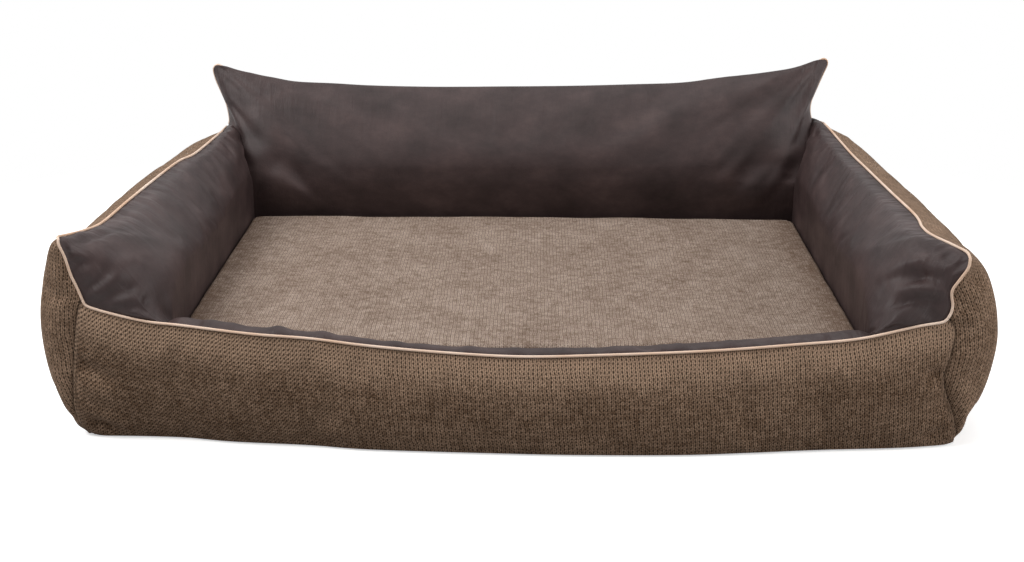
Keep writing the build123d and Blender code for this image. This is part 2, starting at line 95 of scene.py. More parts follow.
# Back cushion, seen from the front: its top edge, the sides of its ears, and its flanks
BACK_TOP = [
    (-499, 342), (-494, 346), (-484, 345), (-458, 337), (-399, 325), (-361, 318.5), (-301, 316), (-242, 313),
    (-145, 311.5), (-47, 312.5), (79, 314.5), (195, 318.5), (255, 321.5), (312, 330), (371, 337), (421, 345),
    (451, 353), (470, 360), (480, 362), (486, 357),
]
BACK_SIDE = {
    -1: [(-499, 342), (-502, 335), (-498, 318), (-492, 303), (-483, 280), (-479, 256), (-481, 244)],
    1: [(486, 357), (487, 350), (481, 335), (472, 312), (464, 290), (463, 272), (468, 255), (471, 244)],
}
BACK_FLANK = {
    -1: [(-481, 244), (-503, 218), (-531, 180), (-540, 141), (-531, 80), (-514, 36), (-491, 3)],
    1: [(471, 244), (496, 218), (529, 180), (540, 141), (531, 80), (514, 36), (491, 3)],
}
# Arms, from front to back: how far out the side cloth swells and the leather's wall stands
SWELL = [(-412, 560), (-388, 577), (-340, 586), (-290, 590), (-60, 590), (100, 583), (260, 566), (392, 541)]
INNER = [(-420, 428), (-300, 430), (-60, 432), (120, 429), (330, 429)]

# Height that the back's face is drawn at, and where it is sewn to its rear cloth and the arms
BACK_TALL = 312
SEAM_Y = 392.0
# Distance from the back's side edges over which a face turns round, and how squarely
FACE_TURN = (92, 0.6)
REAR_TURN = (62, 0.5)
# The rear cloth stays as far back as the frame of its zip
REAR_CLOTH_Y = 446.3
# Half the width between the arms, of the room that stays clear there, and of the mattress
INNER_WALL = 428.0
ROOM_HALF = 427.2
MATTRESS_HALF = 426.0
MATTRESS_REAR = 277.0
MATTRESS_INSIDE = (0, -40, 60)
LYING_HEIGHT = 120.0
ARM_INSIDE = 500.0
FLOOR_GAP = 1.0
# Distance past which the cloth no longer shows its seam
SEAM_REACH = 120.0
CORD_RADIUS = 1.7
# How far a cover's seam lies below and behind the cord that stands on it
UNDER_CORD = 1.4
# Zips of the frame: half the slot's length, and the heights of its two edges
BACK_SLOT = (385.0, 37.5, 46.5)
MATTRESS_SLOT = (336.0, 21.5, 30.5)

# Creases and folds that the stuffing leaves: start, end, width, and depth below 0 or above
ARM_CREASES = {
    -1: [
        ((-527, -410, 190), (-500, -402, 214), 7, -13.0),
        ((-512, -413, 174), (-470, -407, 196), 7, -13.0),
        ((-522, -412, 182), (-484, -404, 206), 6, 7.0),
        ((-498, -414, 168), (-452, -408, 176), 8, -7.0),
        ((-486, -400, 216), (-452, -372, 236), 14, 6.0),
        ((-546, -404, 243), (-508, -350, 250), 10, -9.0),
        ((-548, -398, 255), (-534, -372, 255), 8, 6.0),
        ((-540, -407, 228), (-508, -398, 222), 8, -8.0),
        ((-470, -395, 196), (-440, -372, 150), 16, -5.0),
    ],
    1: [
        ((505, -405, 214), (455, -396, 222), 10, -15.0),
        ((503, -411, 188), (446, -406, 186), 8, -13.0),
        ((512, -409, 201), (462, -403, 204), 7, 8.0),
        ((527, -402, 230), (486, -366, 246), 10, -10.0),
        ((514, -413, 177), (476, -413, 170), 7, -8.0),
        ((470, -398, 236), (440, -372, 214), 12, 6.0),
        ((533, -404, 236), (520, -384, 247), 7, 5.0),
    ],
}
SIDE_CREASES = {
    -1: [
        ((-566, -376, 122), (-542, -404, 104), 7, -9.0),
        ((-568, -370, 104), (-547, -402, 90), 8, 5.0),
        ((-574, -340, 190), (-580, -250, 205), 26, -6.0),
        ((-588, -180, 170), (-584, -80, 190), 30, -5.0),
        ((-556, -385, 212), (-568, -345, 220), 12, -7.0),
        ((-560, -382, 176), (-574, -350, 168), 11, -6.0),
    ],
    1: [
        ((552, -393, 106), (526, -408, 100), 6, -9.0),
        ((560, -385, 128), (534, -406, 118), 9, 4.0),
        ((545, -404, 215), (563, -380, 190), 9, -8.0),
        ((578, -330, 190), (584, -240, 205), 26, -6.0),
        ((588, -160, 165), (584, -60, 185), 30, -5.0),
        ((566, -370, 150), (582, -320, 160), 15, -5.0),
    ],
}
FRONT_CREASES = [
    ((-548, -408, 106), (-504, -420, 84), 9, -9.0),
    ((-536, -410, 78), (-496, -419, 56), 12, 4.0),
    ((-536, -400, 30), (-496, -404, 8), 7, -9.0),
    ((-530, -404, 44), (-490, -410, 22), 8, 4.0),
    ((517, -413, 98), (492, -418, 102), 6, -9.0),
    ((515, -412, 82), (488, -418, 74), 8, 4.0),
    ((530, -405, 30), (496, -412, 14), 9, -6.0),
    ((-300, -440, 108), (-120, -448, 90), 30, -3.0),
    ((120, -448, 70), (320, -438, 92), 34, -3.0),
]
BACK_CREASES = [
    ((-488, 384, 332), (-440, 330, 284), 13, -2.5),
    ((-484, 388, 336), (-402, 345, 308), 7, -3.0),
    ((-488, 384, 312), (-458, 345, 258), 7, -3.5),
    ((-470, 380, 296), (-430, 318, 262), 18, 1.5),
    ((474, 384, 348), (428, 330, 290), 8, -4.0),
    ((472, 388, 352), (392, 345, 320), 7, -3.0),
    ((474, 384, 318), (446, 340, 262), 7, -3.5),
    ((466, 380, 306), (424, 318, 268), 12, 2.0),
    ((257, 290, 166), (294, 288, 206), 11, -3.0),
    ((393, 290, 162), (432, 294, 206), 10, -4.0),
    ((360, 290, 150), (400, 290, 190), 12, 3.0),
    ((-430, 290, 150), (-392, 288, 205), 12, -3.5),
]
MATTRESS_CREASES = [
    ((300, -114, 122), (392, -96, 122), 7, -1.2),
    ((334, -170, 122), (420, -146, 122), 7, -1.3),
    ((368, -208, 122), (422, -192, 122), 6, -1.2),
    ((350, -140, 122), (410, -124, 122), 8, 2.0),
    ((226, -194, 122), (330, -176, 122), 11, -1.0),
    ((-420, -212, 122), (-378, -160, 122), 9, -1.2),
    ((-400, -60, 122), (-330, -64, 122), 10, -1.0),
]


def hex_to_linear(code):
    """An sRGB hex colour as linear RGBA."""
    parts = [int(code[i:i + 2], 16) / 255 for i in (1, 3, 5)]
    return [c / 12.92 if c <= 0.04045 else ((c + 0.055) / 1.055) ** 2.4 for c in parts] + [1.0]


# Sizes and colours that a user would change


def length(name, default, text):
    """A length that a user can change, in metres."""
    return FloatProperty(name=name, description=text, default=default, min=0.0, unit="LENGTH", precision=4)


def colour(name, code, text):
    """A colour that a user can change, from its sRGB hex value."""
    return FloatVectorProperty(
        name=name, description=text, default=hex_to_linear(code), size=4, min=0.0, max=1.0, subtype="COLOR"
    )


class DogBedSizes(PropertyGroup):
    """Sizes of the bed's soft detail."""

    cord_radius: length("Piping radius", CORD_RADIUS * MM, "Half the thickness of the sewn-in piping")
    groove_depth: length("Seam groove", 0.004, "How far cloth rises beside its seam")
    groove_width: length("Groove width", 0.007, "How far from a seam cloth reaches its height")
    gather_pitch: length("Gather pitch", 0.021, "Distance between the leather's gathers at its piping")
    gather_depth: length("Gather depth", 0.0017, "Height of the leather's gathers at its piping")
    weave_pitch: length("Weave pitch", 0.0051, "Distance between tufts of the chenille")
    crown: length("Mattress crown", 0.004, "How much higher the mattress is along its middle")
    edge_radius: length("Mattress edge", 0.007, "Radius of the mattress's upper edge")
    filling_inset: length("Filling inset", 0.006, "Distance from a cover to its filling")
    stuffing: FloatProperty(
        name="Stuffing", description="Pressure of the filling against the leather", default=4.0, min=0.0
    )


class DogBedColours(PropertyGroup):
    """Colours of the bed's materials."""

    wall_hollow: colour("Wall weave hollow", "#1F140C", "Shadow between the tufts of the walls")
    wall_dark: colour("Wall chenille, dark", "#4F3621", "Wall chenille brushed towards the eye")
    wall_light: colour("Wall chenille, light", "#B4967E", "Wall chenille brushed away from the eye")
    top_hollow: colour("Mattress weave hollow", "#4C3B30", "Shadow between the tufts of the mattress")
    top_dark: colour("Mattress chenille, dark", "#6E594B", "Mattress chenille brushed towards the eye")
    top_light: colour("Mattress chenille, light", "#C2B0A2", "Mattress chenille brushed away from the eye")
    leather_dark: colour("Leather, dark", "#241918", "Faux leather in its darker clouds")
    leather_mid: colour("Leather", "#372A29", "Faux leather")
    leather_light: colour("Leather, light", "#4D3D3B", "Faux leather in its lighter clouds")
    piping_dark: colour("Piping edge", "#D3AC8E", "Piping where it turns away")
    piping_light: colour("Piping", "#F4DECD", "Piping")
    lining: colour("Lining", "#3A302A", "Cloth under the bed and the mattress")
    zip_tape: colour("Zip tape", "#41342B", "Tape of both zips")
    zip_metal: colour("Zip metal", "#B8B4AC", "Sliders, pulls and stops")


def size_of(name):
    """One of the user's sizes, in millimetres."""
    return getattr(bpy.context.scene.dog_bed_sizes, name) / MM


def colour_of(name):
    """One of the user's colours, as linear RGBA."""
    return list(getattr(bpy.context.scene.dog_bed_colours, name))


# Lines and surfaces


def even(line, count):
    """The same line with evenly spaced points."""
    steps = np.linalg.norm(np.diff(line, axis=0), axis=1)
    reach = np.concatenate([[0], np.cumsum(steps)])
    places = np.linspace(0, reach[-1], count)
    return np.stack([np.interp(places, reach, line[:, k]) for k in range(line.shape[1])], axis=1)


def smooth_line(points, count):
    """Evenly spaced points on a smooth line through the given ones."""
    steps = 24
    p = np.asarray(points, float)
    p = np.vstack([2 * p[0] - p[1], p, 2 * p[-1] - p[-2]])
    t = np.linspace(0, 1, steps)[:, None]
    runs = [
        0.5 * (2 * b + (c - a) * t + (2 * a - 5 * b + 4 * c - d) * t ** 2 + (3 * b - a - 3 * c + d) * t ** 3)
        for a, b, c, d in zip(p, p[1:], p[2:], p[3:])
    ]
    return even(np.vstack(runs), count)


def along(table, place):
    """Value from a table of (place, value), smoothly between its rows."""
    rows = smooth_line(table, 200)
    order = np.argsort(rows[:, 0])
    return np.interp(place, rows[order, 0], rows[order, 1])


def ripple(place, pitch, seed):
    """A smooth uneven wave along a line, from about -1 to 1, with about this pitch."""
    waves = 7
    rng = np.random.default_rng(seed)
    wave = np.zeros(np.shape(place))
    for _ in range(waves):
        wave += rng.uniform(0.5, 1.0) * np.sin(
            2 * math.pi * place / (pitch * rng.uniform(0.6, 1.9)) + rng.uniform(0, 6.3)
        )
    return wave / 3.0


def grid_normals(grid, inside):
    """Direction out of a grid of points, away from a point inside."""
    across = np.cross(np.gradient(grid, axis=0), np.gradient(grid, axis=1))
    across /= np.maximum(np.linalg.norm(across, axis=2), 1e-9)[:, :, None]
    if np.sum(across * (grid - np.array(inside))) < 0:
        across = -across
    return across


def edge_gap(grid, sides):
    """Distance of each point from the sewn edges: first and last rows n and s, columns w and e."""
    down = np.linalg.norm(np.diff(grid, axis=0), axis=2)
    across = np.linalg.norm(np.diff(grid, axis=1), axis=2)
    gaps = {
        "n": np.vstack([np.zeros((1, grid.shape[1])), np.cumsum(down, axis=0)]),
        "s": np.vstack([np.cumsum(down[::-1], axis=0)[::-1], np.zeros((1, grid.shape[1]))]),
        "w": np.hstack([np.zeros((len(grid), 1)), np.cumsum(across, axis=1)]),
        "e": np.hstack([np.cumsum(across[:, ::-1], axis=1)[:, ::-1], np.zeros((len(grid), 1))]),
    }
    return np.minimum.reduce([gaps[side] for side in sides])


def press(grid, inside, creases, calm=3.0):
    """Press soft creases in, or push folds out, and leave the sewn edges where they are."""
    normals = grid_normals(grid, inside)
    shift = np.zeros(grid.shape[:2])
    for start, end, width, depth in creases:
        start, end = np.array(start, float), np.array(end, float)
        run = end - start
        share = np.clip(((grid - start) @ run) / run.dot(run), 0, 1)
        gap = np.linalg.norm(grid - (start + share[:, :, None] * run), axis=2)
        # Deepest half way along, and shallower at both ends
        fade = 0.35 + 0.65 * np.sin(math.pi * (0.15 + 0.7 * share))
        shift += depth * np.exp(-((gap / width) ** 2)) * fade
    rows, cols = (np.minimum(np.arange(n), np.arange(n)[::-1]) / calm for n in shift.shape)
    shift *= np.clip(rows, 0, 1)[:, None] * np.clip(cols, 0, 1)[None]
    return grid + normals * shift[:, :, None]


def puff(grid, inside, sides):
    """Raise the cloth off its sewn edges, so that each seam lies in a soft groove."""
    share = 1 - np.exp(-((edge_gap(grid, sides) / size_of("groove_width")) ** 1.5))
    return grid + grid_normals(grid, inside) * size_of("groove_depth") * share[:, :, None]


def rounded_end(edge, body, count, power=0.8):
    """Rows that leave an edge squarely and turn over into the body's first row."""
    rows = []
    for a in np.linspace(0, math.pi / 2, count, endpoint=False):
        out, back = math.sin(a) ** power, math.cos(a) ** power
        row = edge + (body - edge) * out
        row[:, 1] = body[:, 1] + (edge[:, 1] - body[:, 1]) * back
        rows.append(row)
    return np.array(rows)


def sew_to(grid, line, reach=26.0):
    """Move a grid's first column onto a seam line, and draw the cloth beside it along."""
    line = np.asarray(line)
    reach_grid = np.concatenate([[0], np.cumsum(np.linalg.norm(np.diff(grid[:, 0], axis=0), axis=1))])
    reach_line = np.concatenate([[0], np.cumsum(np.linalg.norm(np.diff(line, axis=0), axis=1))])
    places = reach_grid / reach_grid[-1] * reach_line[-1]
    target = np.stack([np.interp(places, reach_line, line[:, k]) for k in range(3)], axis=1)
    gap = (target - grid[:, 0])[:, None]
    return grid + gap * np.exp(-((edge_gap(grid, "w") / reach) ** 2))[:, :, None]


def cloth_places(grid, down_first=False, sides="nw"):
    """Place of each point in its flat cloth, in millimetres: along its seam, across, and from its seams.
    down_first is for a grid whose rows run down from the seam."""
    if down_first:
        places = cloth_places(grid.transpose(1, 0, 2), False, sides.translate(str.maketrans("nsew", "wens")))
        return places.transpose(1, 0, 2)
    steps_along = np.linalg.norm(np.diff(grid, axis=0), axis=2)
    steps_across = np.linalg.norm(np.diff(grid, axis=1), axis=2)
    run = np.concatenate([np.zeros((1, grid.shape[1])), np.cumsum(steps_along, axis=0)])
    depth = np.concatenate([np.zeros((len(grid), 1)), np.cumsum(steps_across, axis=1)], axis=1)
    run -= run[len(grid) // 2]
    return np.stack([run, depth, np.minimum(edge_gap(grid, sides), SEAM_REACH)], axis=2)


def surface_mesh(name, grid, places, material, ring=False):
    """A mesh from a grid of points, with each point's place in its cloth."""
    rows, cols = grid.shape[:2]
    index = np.arange(rows * cols).reshape(rows, cols)
    if ring:
        index[:, -1] = index[:, 0]
    faces = np.stack([index[:-1, :-1], index[:-1, 1:], index[1:, 1:], index[1:, :-1]], axis=2).reshape(-1, 4)
    mesh = bpy.data.meshes.new(name)
    mesh.from_pydata((grid.reshape(-1, 3) * MM).tolist(), [], faces.tolist())
    mesh.materials.append(material)
    mesh.polygons.foreach_set("use_smooth", [True] * len(faces))
    field = mesh.attributes.new("cloth_mm", "FLOAT_VECTOR", "POINT")
    field.data.foreach_set("vector", places.astype(float).ravel())
    mesh.update()
    obj = bpy.data.objects.new(name, mesh)
    bpy.context.scene.collection.objects.link(obj)
    if ring:
        weld(obj)
    return obj


def weld(obj):
    """Join points that lie in one place, and drop those that no face uses."""
    form = bmesh.new()
    form.from_mesh(obj.data)
    bmesh.ops.remove_doubles(form, verts=form.verts, dist=0.01 * MM)
    bmesh.ops.delete(form, geom=[v for v in form.verts if not v.link_faces], context="VERTS")
    form.to_mesh(obj.data)
    form.free()


def face_outwards(obj, inside):
    """Turn the faces of an open surface away from a point inside it."""
    mesh = obj.data
    centre = Vector(inside) * MM
    if sum((p.center - centre).dot(p.normal) * p.area for p in mesh.polygons) < 0:
        mesh.flip_normals()


def positions(mesh):
    """Places of a mesh's points, in metres."""
    flat = np.empty(len(mesh.vertices) * 3)
    mesh.vertices.foreach_get("co", flat)
    return flat.reshape(-1, 3)


def place_points(obj, points):
    """Move an object's points to these places in millimetres."""
    obj.data.vertices.foreach_set("co", (np.asarray(points).reshape(-1, 3) * MM).ravel())
    obj.data.update()


def stuff(obj, held, pressure, grow, cap, frames=20):
    """Blow a cover out with Cloth, held at its sewn points, and keep the shape it takes."""
    start = positions(obj.data)
    group = obj.vertex_groups.new(name="sewn")
    for weight in np.unique(held[held > 0]):
        group.add(np.nonzero(held == weight)[0].tolist(), float(weight), "REPLACE")
    cloth = obj.modifiers.new("stuffing", "CLOTH")
    settings = cloth.settings
    settings.vertex_group_mass = group.name
    settings.quality = 6
    settings.mass = 0.3
    settings.tension_stiffness = 12
    settings.compression_stiffness = 12
    settings.shear_stiffness = 4
    settings.bending_stiffness = 0.6
    settings.use_pressure = True
    settings.uniform_pressure_force = pressure
    settings.shrink_min = -grow
    settings.effector_weights.gravity = 0
    cloth.point_cache.frame_start = 1
    cloth.point_cache.frame_end = frames
    scene = bpy.context.scene
    for number in range(1, frames + 1):
        scene.frame_set(number)
    result = obj.evaluated_get(bpy.context.evaluated_depsgraph_get())
    move = positions(result.data) - start
    scene.frame_set(1)
    obj.modifiers.remove(cloth)
    obj.vertex_groups.remove(group)
    size = np.linalg.norm(move, axis=1)
    limit = cap * MM
    move *= (limit * np.tanh(size / limit) / np.maximum(size, 1e-9))[:, None]
    place_points(obj, (start + move) / MM)


def subdivide(obj, levels=1):
    """Add smooth subdivisions and keep them in the mesh."""
    step = obj.modifiers.new("smooth", "SUBSURF")
    step.levels = levels
    step.boundary_smooth = "PRESERVE_CORNERS"
    mesh = bpy.data.meshes.new_from_object(obj.evaluated_get(bpy.context.evaluated_depsgraph_get()))
    old = obj.data
    name = old.name
    obj.modifiers.clear()
    obj.data = mesh
    bpy.data.meshes.remove(old)
    mesh.name = name


def finish_piece(obj, body, replaced=()):
    """Let a piece ride on a body, and stand for the frame's solids, which it hides."""
    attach(obj, body)
    if replaced:
        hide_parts(*replaced)
    return obj


def cord_mesh(name, line, material, sides=10):
    """A round sewn-in cord along a line of points, with domed ends."""
    line = np.asarray(line, float)
    radius = size_of("cord_radius")
    tangent = np.gradient(line, axis=0)
    tangent /= np.linalg.norm(tangent, axis=1)[:, None]
    dome = radius * 0.6
    # Square to the cord's start: no cord here starts along this slant
    normal = np.cross(tangent[0], (0.3, 0.2, 0.9))
    angles = np.linspace(0, 2 * math.pi, sides + 1)
    ring = np.stack([np.cos(angles), np.sin(angles)], axis=1) * radius
    rows, places, reach = [], [], 0.0
    for i, point in enumerate(line):
        normal = normal - tangent[i] * normal.dot(tangent[i])
        normal /= np.linalg.norm(normal)
        side = np.cross(tangent[i], normal)
        reach += np.linalg.norm(point - line[i - 1]) if i else 0.0
        place = np.stack([np.full(sides + 1, reach), angles * radius, 0 * angles], axis=1)
        if i == 0:
            rows.append(np.repeat(point[None] - tangent[i] * dome, sides + 1, axis=0))
            places.append(place)
        rows.append(point + ring[:, :1] * normal + ring[:, 1:] * side)
        places.append(place)
    rows.append(np.repeat(line[-1][None] + tangent[-1] * dome, sides + 1, axis=0))
    places.append(places[-1])
    return surface_mesh(name, np.array(rows), np.array(places), material, ring=True)


# Materials


def add_node(tree, kind, inputs=None, **settings):
    """Add a node with its settings, its input values and its links."""
    node = tree.nodes.new(kind)
    for key, value in settings.items():
        setattr(node, key, value)
    for key, value in (inputs or {}).items():
        if isinstance(value, bpy.types.NodeSocket):
            tree.links.new(value, node.inputs[key])
        else:
            node.inputs[key].default_value = value
    return node


def new_material(name, **sockets):
    """A material with one Principled shader, whose plain sockets are set here."""
    material = bpy.data.materials.new(name)
    material.use_nodes = True
    tree = material.node_tree
    tree.nodes.clear()
    shader = add_node(tree, "ShaderNodeBsdfPrincipled")
    for key, value in sockets.items():
        shader.inputs[key.replace("_", " ")].default_value = value
    add_node(tree, "ShaderNodeOutputMaterial", {"Surface": shader.outputs["BSDF"]})
    return material, tree, shader


def colour_ramp(tree, factor, stops):
    """A colour that runs through stops of (place, colour)."""
    ramp = add_node(tree, "ShaderNodeValToRGB", {"Fac": factor})
    points = ramp.color_ramp.elements
    while len(points) < len(stops):
        points.new(0.5)
    for point, (place, tint) in zip(points, stops):
        point.position = place
        point.color = tint
    return ramp.outputs["Color"]


def link_all(tree, shader, links):
    """Link sockets to a shader's inputs."""
    for key, socket in links.items():
        tree.links.new(socket, shader.inputs[key])


# Waves that add up to the weave's hollows: turns per tuft across and down, and their weight
# where the tufts stand in V's and where they all lean one way
WEAVE_WAVES = (
    (2, 0, 0.30, 0.20),
    (1, 0, 0.17, 0.06),
    (1, 1, 0.15, 0.25),
    (1, -1, 0.12, 0.07),
    (0, 1, 0.13, 0.14),
)


def woven_chenille(
    name, hollow, dark, light, painted_seam_light=0.0, hollow_share=1.0, brushed=1.0, blotches=0.55, stretch=1.0,
    fineness=1.0, leaning_from=None,
):
    """Chenille: thick tufted yarns, woven. Light catches each tuft on its own, so it looks
    speckled, the tufts stand in columns of small V's, the weave leaves a dark hollow between
    every four tufts, and the pile brushes lighter and darker in soft patches. It is matt, with
    a faint sheen where it turns away. The painted seam light lightens it beside its seam as
    painted light, and where it is below 0 darkens it there as painted shade; brushed below 1
    flattens the tufts, stretch below 1 draws its patches out along the rows, and from the place
    leaning_from along the cloth the tufts all lean one way."""
    material, tree, shader = new_material(
        name, Roughness=0.95, Specular_IOR_Level=0.12, Sheen_Weight=0.18, Sheen_Roughness=0.45,
        Sheen_Tint=hex_to_linear("#C2AE9D"),
    )
    pitch = size_of("weave_pitch") * fineness
    changeover = 140.0
    nap_share, fuzz_share, tuft_share = 0.65, 1.3 * brushed, 0.3 * brushed
    place = add_node(tree, "ShaderNodeAttribute", attribute_name="cloth_mm").outputs["Vector"]
    drift = add_node(tree, "ShaderNodeTexNoise", {"Vector": place, "Scale": 0.03, "Detail": 3.0})
    shift = add_node(
        tree, "ShaderNodeVectorMath", {0: drift.outputs["Color"], 1: (0.5, 0.5, 0.5)}, operation="SUBTRACT"
    )
    # The yarns wander by up to 3 mm, as loosely woven ones do
    moved = add_node(
        tree, "ShaderNodeVectorMath", {0: shift.outputs[0], 1: (6.0, 6.0, 0.0), 2: place},
        operation="MULTIPLY_ADD",
    )
    # One tuft every 5 mm each way, as counted in the photograph
    tufts = add_node(
        tree, "ShaderNodeVectorMath", {0: moved.outputs[0], 1: (1 / pitch, 1 / pitch, 0)},
        operation="MULTIPLY",
    )
    parts = add_node(tree, "ShaderNodeSeparateXYZ", {0: place})
    askew = 0.0
    if leaning_from is not None:
        askew = add_node(
            tree, "ShaderNodeMapRange",
            {"Value": parts.outputs[0], "From Min": leaning_from, "From Max": leaning_from - changeover},
        ).outputs[0]
    depth = 0.5
    for across, down, straight, leaning in WEAVE_WAVES:
        turn = add_node(
            tree, "ShaderNodeVectorMath",
            {0: tufts.outputs[0], 1: (math.tau * across, math.tau * down, 0)}, operation="DOT_PRODUCT",
        )
        wave = add_node(tree, "ShaderNodeMath", {0: turn.outputs["Value"]}, operation="COSINE")
        weight = add_node(
            tree, "ShaderNodeMath", {0: askew, 1: leaning - straight, 2: straight}, operation="MULTIPLY_ADD"
        )
        depth = add_node(
            tree, "ShaderNodeMath", {0: wave.outputs[0], 1: weight.outputs[0], 2: depth},
            operation="MULTIPLY_ADD",
        ).outputs[0]
    fuzz = add_node(
        tree, "ShaderNodeTexNoise", {"Vector": place, "Scale": 0.5, "Detail": 2.0, "Roughness": 0.8}
    )
    loose = add_node(
        tree, "ShaderNodeMath", {0: fuzz.outputs["Fac"], 1: -1.4, 2: depth},
        operation="MULTIPLY_ADD",
    )
    raised = add_node(
        tree, "ShaderNodeMapRange", {"Value": loose.outputs[0], "From Min": 0.35, "From Max": -0.6},
        interpolation_type="SMOOTHSTEP",
    )
    cell = add_node(tree, "ShaderNodeVectorMath", {0: tufts.outputs[0]}, operation="FLOOR")
    single = add_node(
        tree, "ShaderNodeTexWhiteNoise", {"Vector": cell.outputs[0]}, noise_dimensions="3D"
    )
    nap = add_node(
        tree, "ShaderNodeTexNoise", {"Vector": place, "Scale": 0.011, "Detail": 5.0, "Roughness": 0.6}
    )
    drawn = add_node(tree, "ShaderNodeMapping", {"Vector": place, "Scale": (stretch, 1.0, 1.0)})
    mottle = add_node(
        tree, "ShaderNodeTexNoise",
        {"Vector": drawn.outputs[0], "Scale": 0.07, "Detail": 3.0, "Roughness": 0.7},
    )
    tone = add_node(
        # Painted light beside the seam, fading out between 6 and 62 mm from it; below 0 it is painted shade
        tree, "ShaderNodeMapRange",
        {"Value": parts.outputs[2], "From Min": 6.0, "From Max": 62.0, "To Min": painted_seam_light, "To Max": 0.0},
        interpolation_type="SMOOTHSTEP",
    ).outputs[0]
    for source, share in (
        (nap.outputs["Fac"], nap_share), (mottle.outputs["Fac"], blotches),
        (fuzz.outputs["Fac"], fuzz_share), (single.outputs["Value"], tuft_share),
    ):
        tone = add_node(
            tree, "ShaderNodeMath", {0: source, 1: share, 2: tone}, operation="MULTIPLY_ADD"
        ).outputs[0]
    middle = (nap_share + blotches + fuzz_share + tuft_share) / 2
    tone = add_node(
        tree, "ShaderNodeMapRange", {"Value": tone, "From Min": middle - 0.42, "From Max": middle + 0.5}
    ).outputs[0]
    yarn = colour_ramp(tree, tone, [(0.0, dark), (1.0, light)])
    # Painted shade in each seam's groove, where the pile also lies flat: the tufts darken within 3 mm of a
    # seam
    crushed_and_shaded = add_node(
        tree, "ShaderNodeMapRange",
        {"Value": parts.outputs[2], "From Min": 0.5, "From Max": 3.5, "To Min": 0.45},
    )
    share = add_node(
        tree, "ShaderNodeMapRange", {"Value": raised.outputs[0], "To Min": 1.0 - hollow_share, "To Max": 1.0}
    )
    share = add_node(
        tree, "ShaderNodeMath", {0: share.outputs[0], 1: crushed_and_shaded.outputs[0]}, operation="MULTIPLY"
    )
    tint = add_node(tree, "ShaderNodeMix", {0: share.outputs[0], 6: hollow, 7: yarn}, data_type="RGBA")
    height = add_node(
        tree, "ShaderNodeMath", {0: fuzz.outputs["Fac"], 1: 0.6, 2: raised.outputs[0]},
        operation="MULTIPLY_ADD",
    )
    bump = add_node(
        tree, "ShaderNodeBump", {"Strength": 0.7, "Distance": 0.0011 * brushed, "Height": height.outputs[0]}
    )
    link_all(tree, shader, {"Base Color": tint.outputs[2], "Normal": bump.outputs[0]})
    return material


def wall_chenille():
    """Chenille of the arms' sides and the back's rear: dark brown, its hollows well seen, and paler beside
    its seams with painted light.
    """
    return woven_chenille(
        "chenille_woven", colour_of("wall_hollow"), colour_of("wall_dark"), colour_of("wall_light"),
        painted_seam_light=0.16, hollow_share=0.9,
    )


def front_chenille():
    """The same chenille on the front wall: paler below its piping with painted light from above, and leaning
    at its left.
    """
    return woven_chenille(
        "chenille_woven_front", colour_of("wall_hollow"), colour_of("wall_dark"), colour_of("wall_light"),
        painted_seam_light=0.62, hollow_share=0.92, leaning_from=-130.0,
    )


def mattress_chenille():
    """Chenille of the mattress: paler and finer, lain flat, with long soft patches, and darker along its
    left and right edges with painted shade of the arms.
    """
    return woven_chenille(
        "chenille_woven_brushed", colour_of("top_hollow"), colour_of("top_dark"), colour_of("top_light"),
        painted_seam_light=-0.3, hollow_share=0.75, brushed=0.8, blotches=1.15, stretch=0.5, fineness=0.91,
    )


def faux_leather():
    """Polyurethane faux leather, pressed and softened: satin, so broad highlights lie along
    each roll, with soft clouds of colour, a fine grain, and shallow wrinkles drawn from the
    seams that fade within a hand's width."""
    material, tree, shader = new_material("leather_faux_pressed", Specular_IOR_Level=0.3, IOR=1.46)
    place = add_node(tree, "ShaderNodeAttribute", attribute_name="cloth_mm").outputs["Vector"]
    parts = add_node(tree, "ShaderNodeSeparateXYZ", {0: place})
    # Wrinkles about 12 mm apart and 80 mm long
    drawn = add_node(
        tree, "ShaderNodeMapping", {"Vector": place, "Scale": (1.0, 0.16, 0.0), "Rotation": (0, 0, 0.25)}
    )
    wrinkle = add_node(
        tree, "ShaderNodeTexNoise",
        {"Vector": drawn.outputs[0], "Scale": 0.075, "Detail": 3.0, "Roughness": 0.55, "Distortion": 0.3},
    )
    near = add_node(
        tree, "ShaderNodeMapRange",
        {"Value": parts.outputs[2], "From Max": 110.0, "To Min": 1.0, "To Max": 0.12},
    )
    folds = add_node(
        tree, "ShaderNodeMath", {0: wrinkle.outputs["Fac"], 1: near.outputs[0]}, operation="MULTIPLY"
    )
    # Pressed grain cells of about 2.4 mm: the real ones, under 1 mm, wouldn't show
    grain = add_node(tree, "ShaderNodeTexVoronoi", {"Vector": place, "Scale": 0.42})
    flat = add_node(tree, "ShaderNodeMapping", {"Vector": place, "Scale": (0.7, 1.0, 0.0)})
    cloud = add_node(
        tree, "ShaderNodeTexNoise",
        {"Vector": flat.outputs[0], "Scale": 0.016, "Detail": 5.0, "Roughness": 0.62},
    )
    shades = [
        (0.3, colour_of("leather_dark")), (0.52, colour_of("leather_mid")),
        (0.8, colour_of("leather_light")),
    ]
    tint = colour_ramp(tree, cloud.outputs["Fac"], shades)
    bent = add_node(
        tree, "ShaderNodeBump", {"Strength": 0.75, "Distance": 0.005, "Height": folds.outputs[0]}
    )
    pores = {"Strength": 0.22, "Distance": 0.0004, "Height": grain.outputs["Distance"]}
    pores = add_node(tree, "ShaderNodeBump", {**pores, "Normal": bent.outputs[0]})
    rough = add_node(
        tree, "ShaderNodeMapRange", {"Value": cloud.outputs["Fac"], "To Min": 0.6, "To Max": 0.46}
    )
    link_all(tree, shader, {"Base Color": tint, "Normal": pores.outputs[0], "Roughness": rough.outputs[0]})
    return material


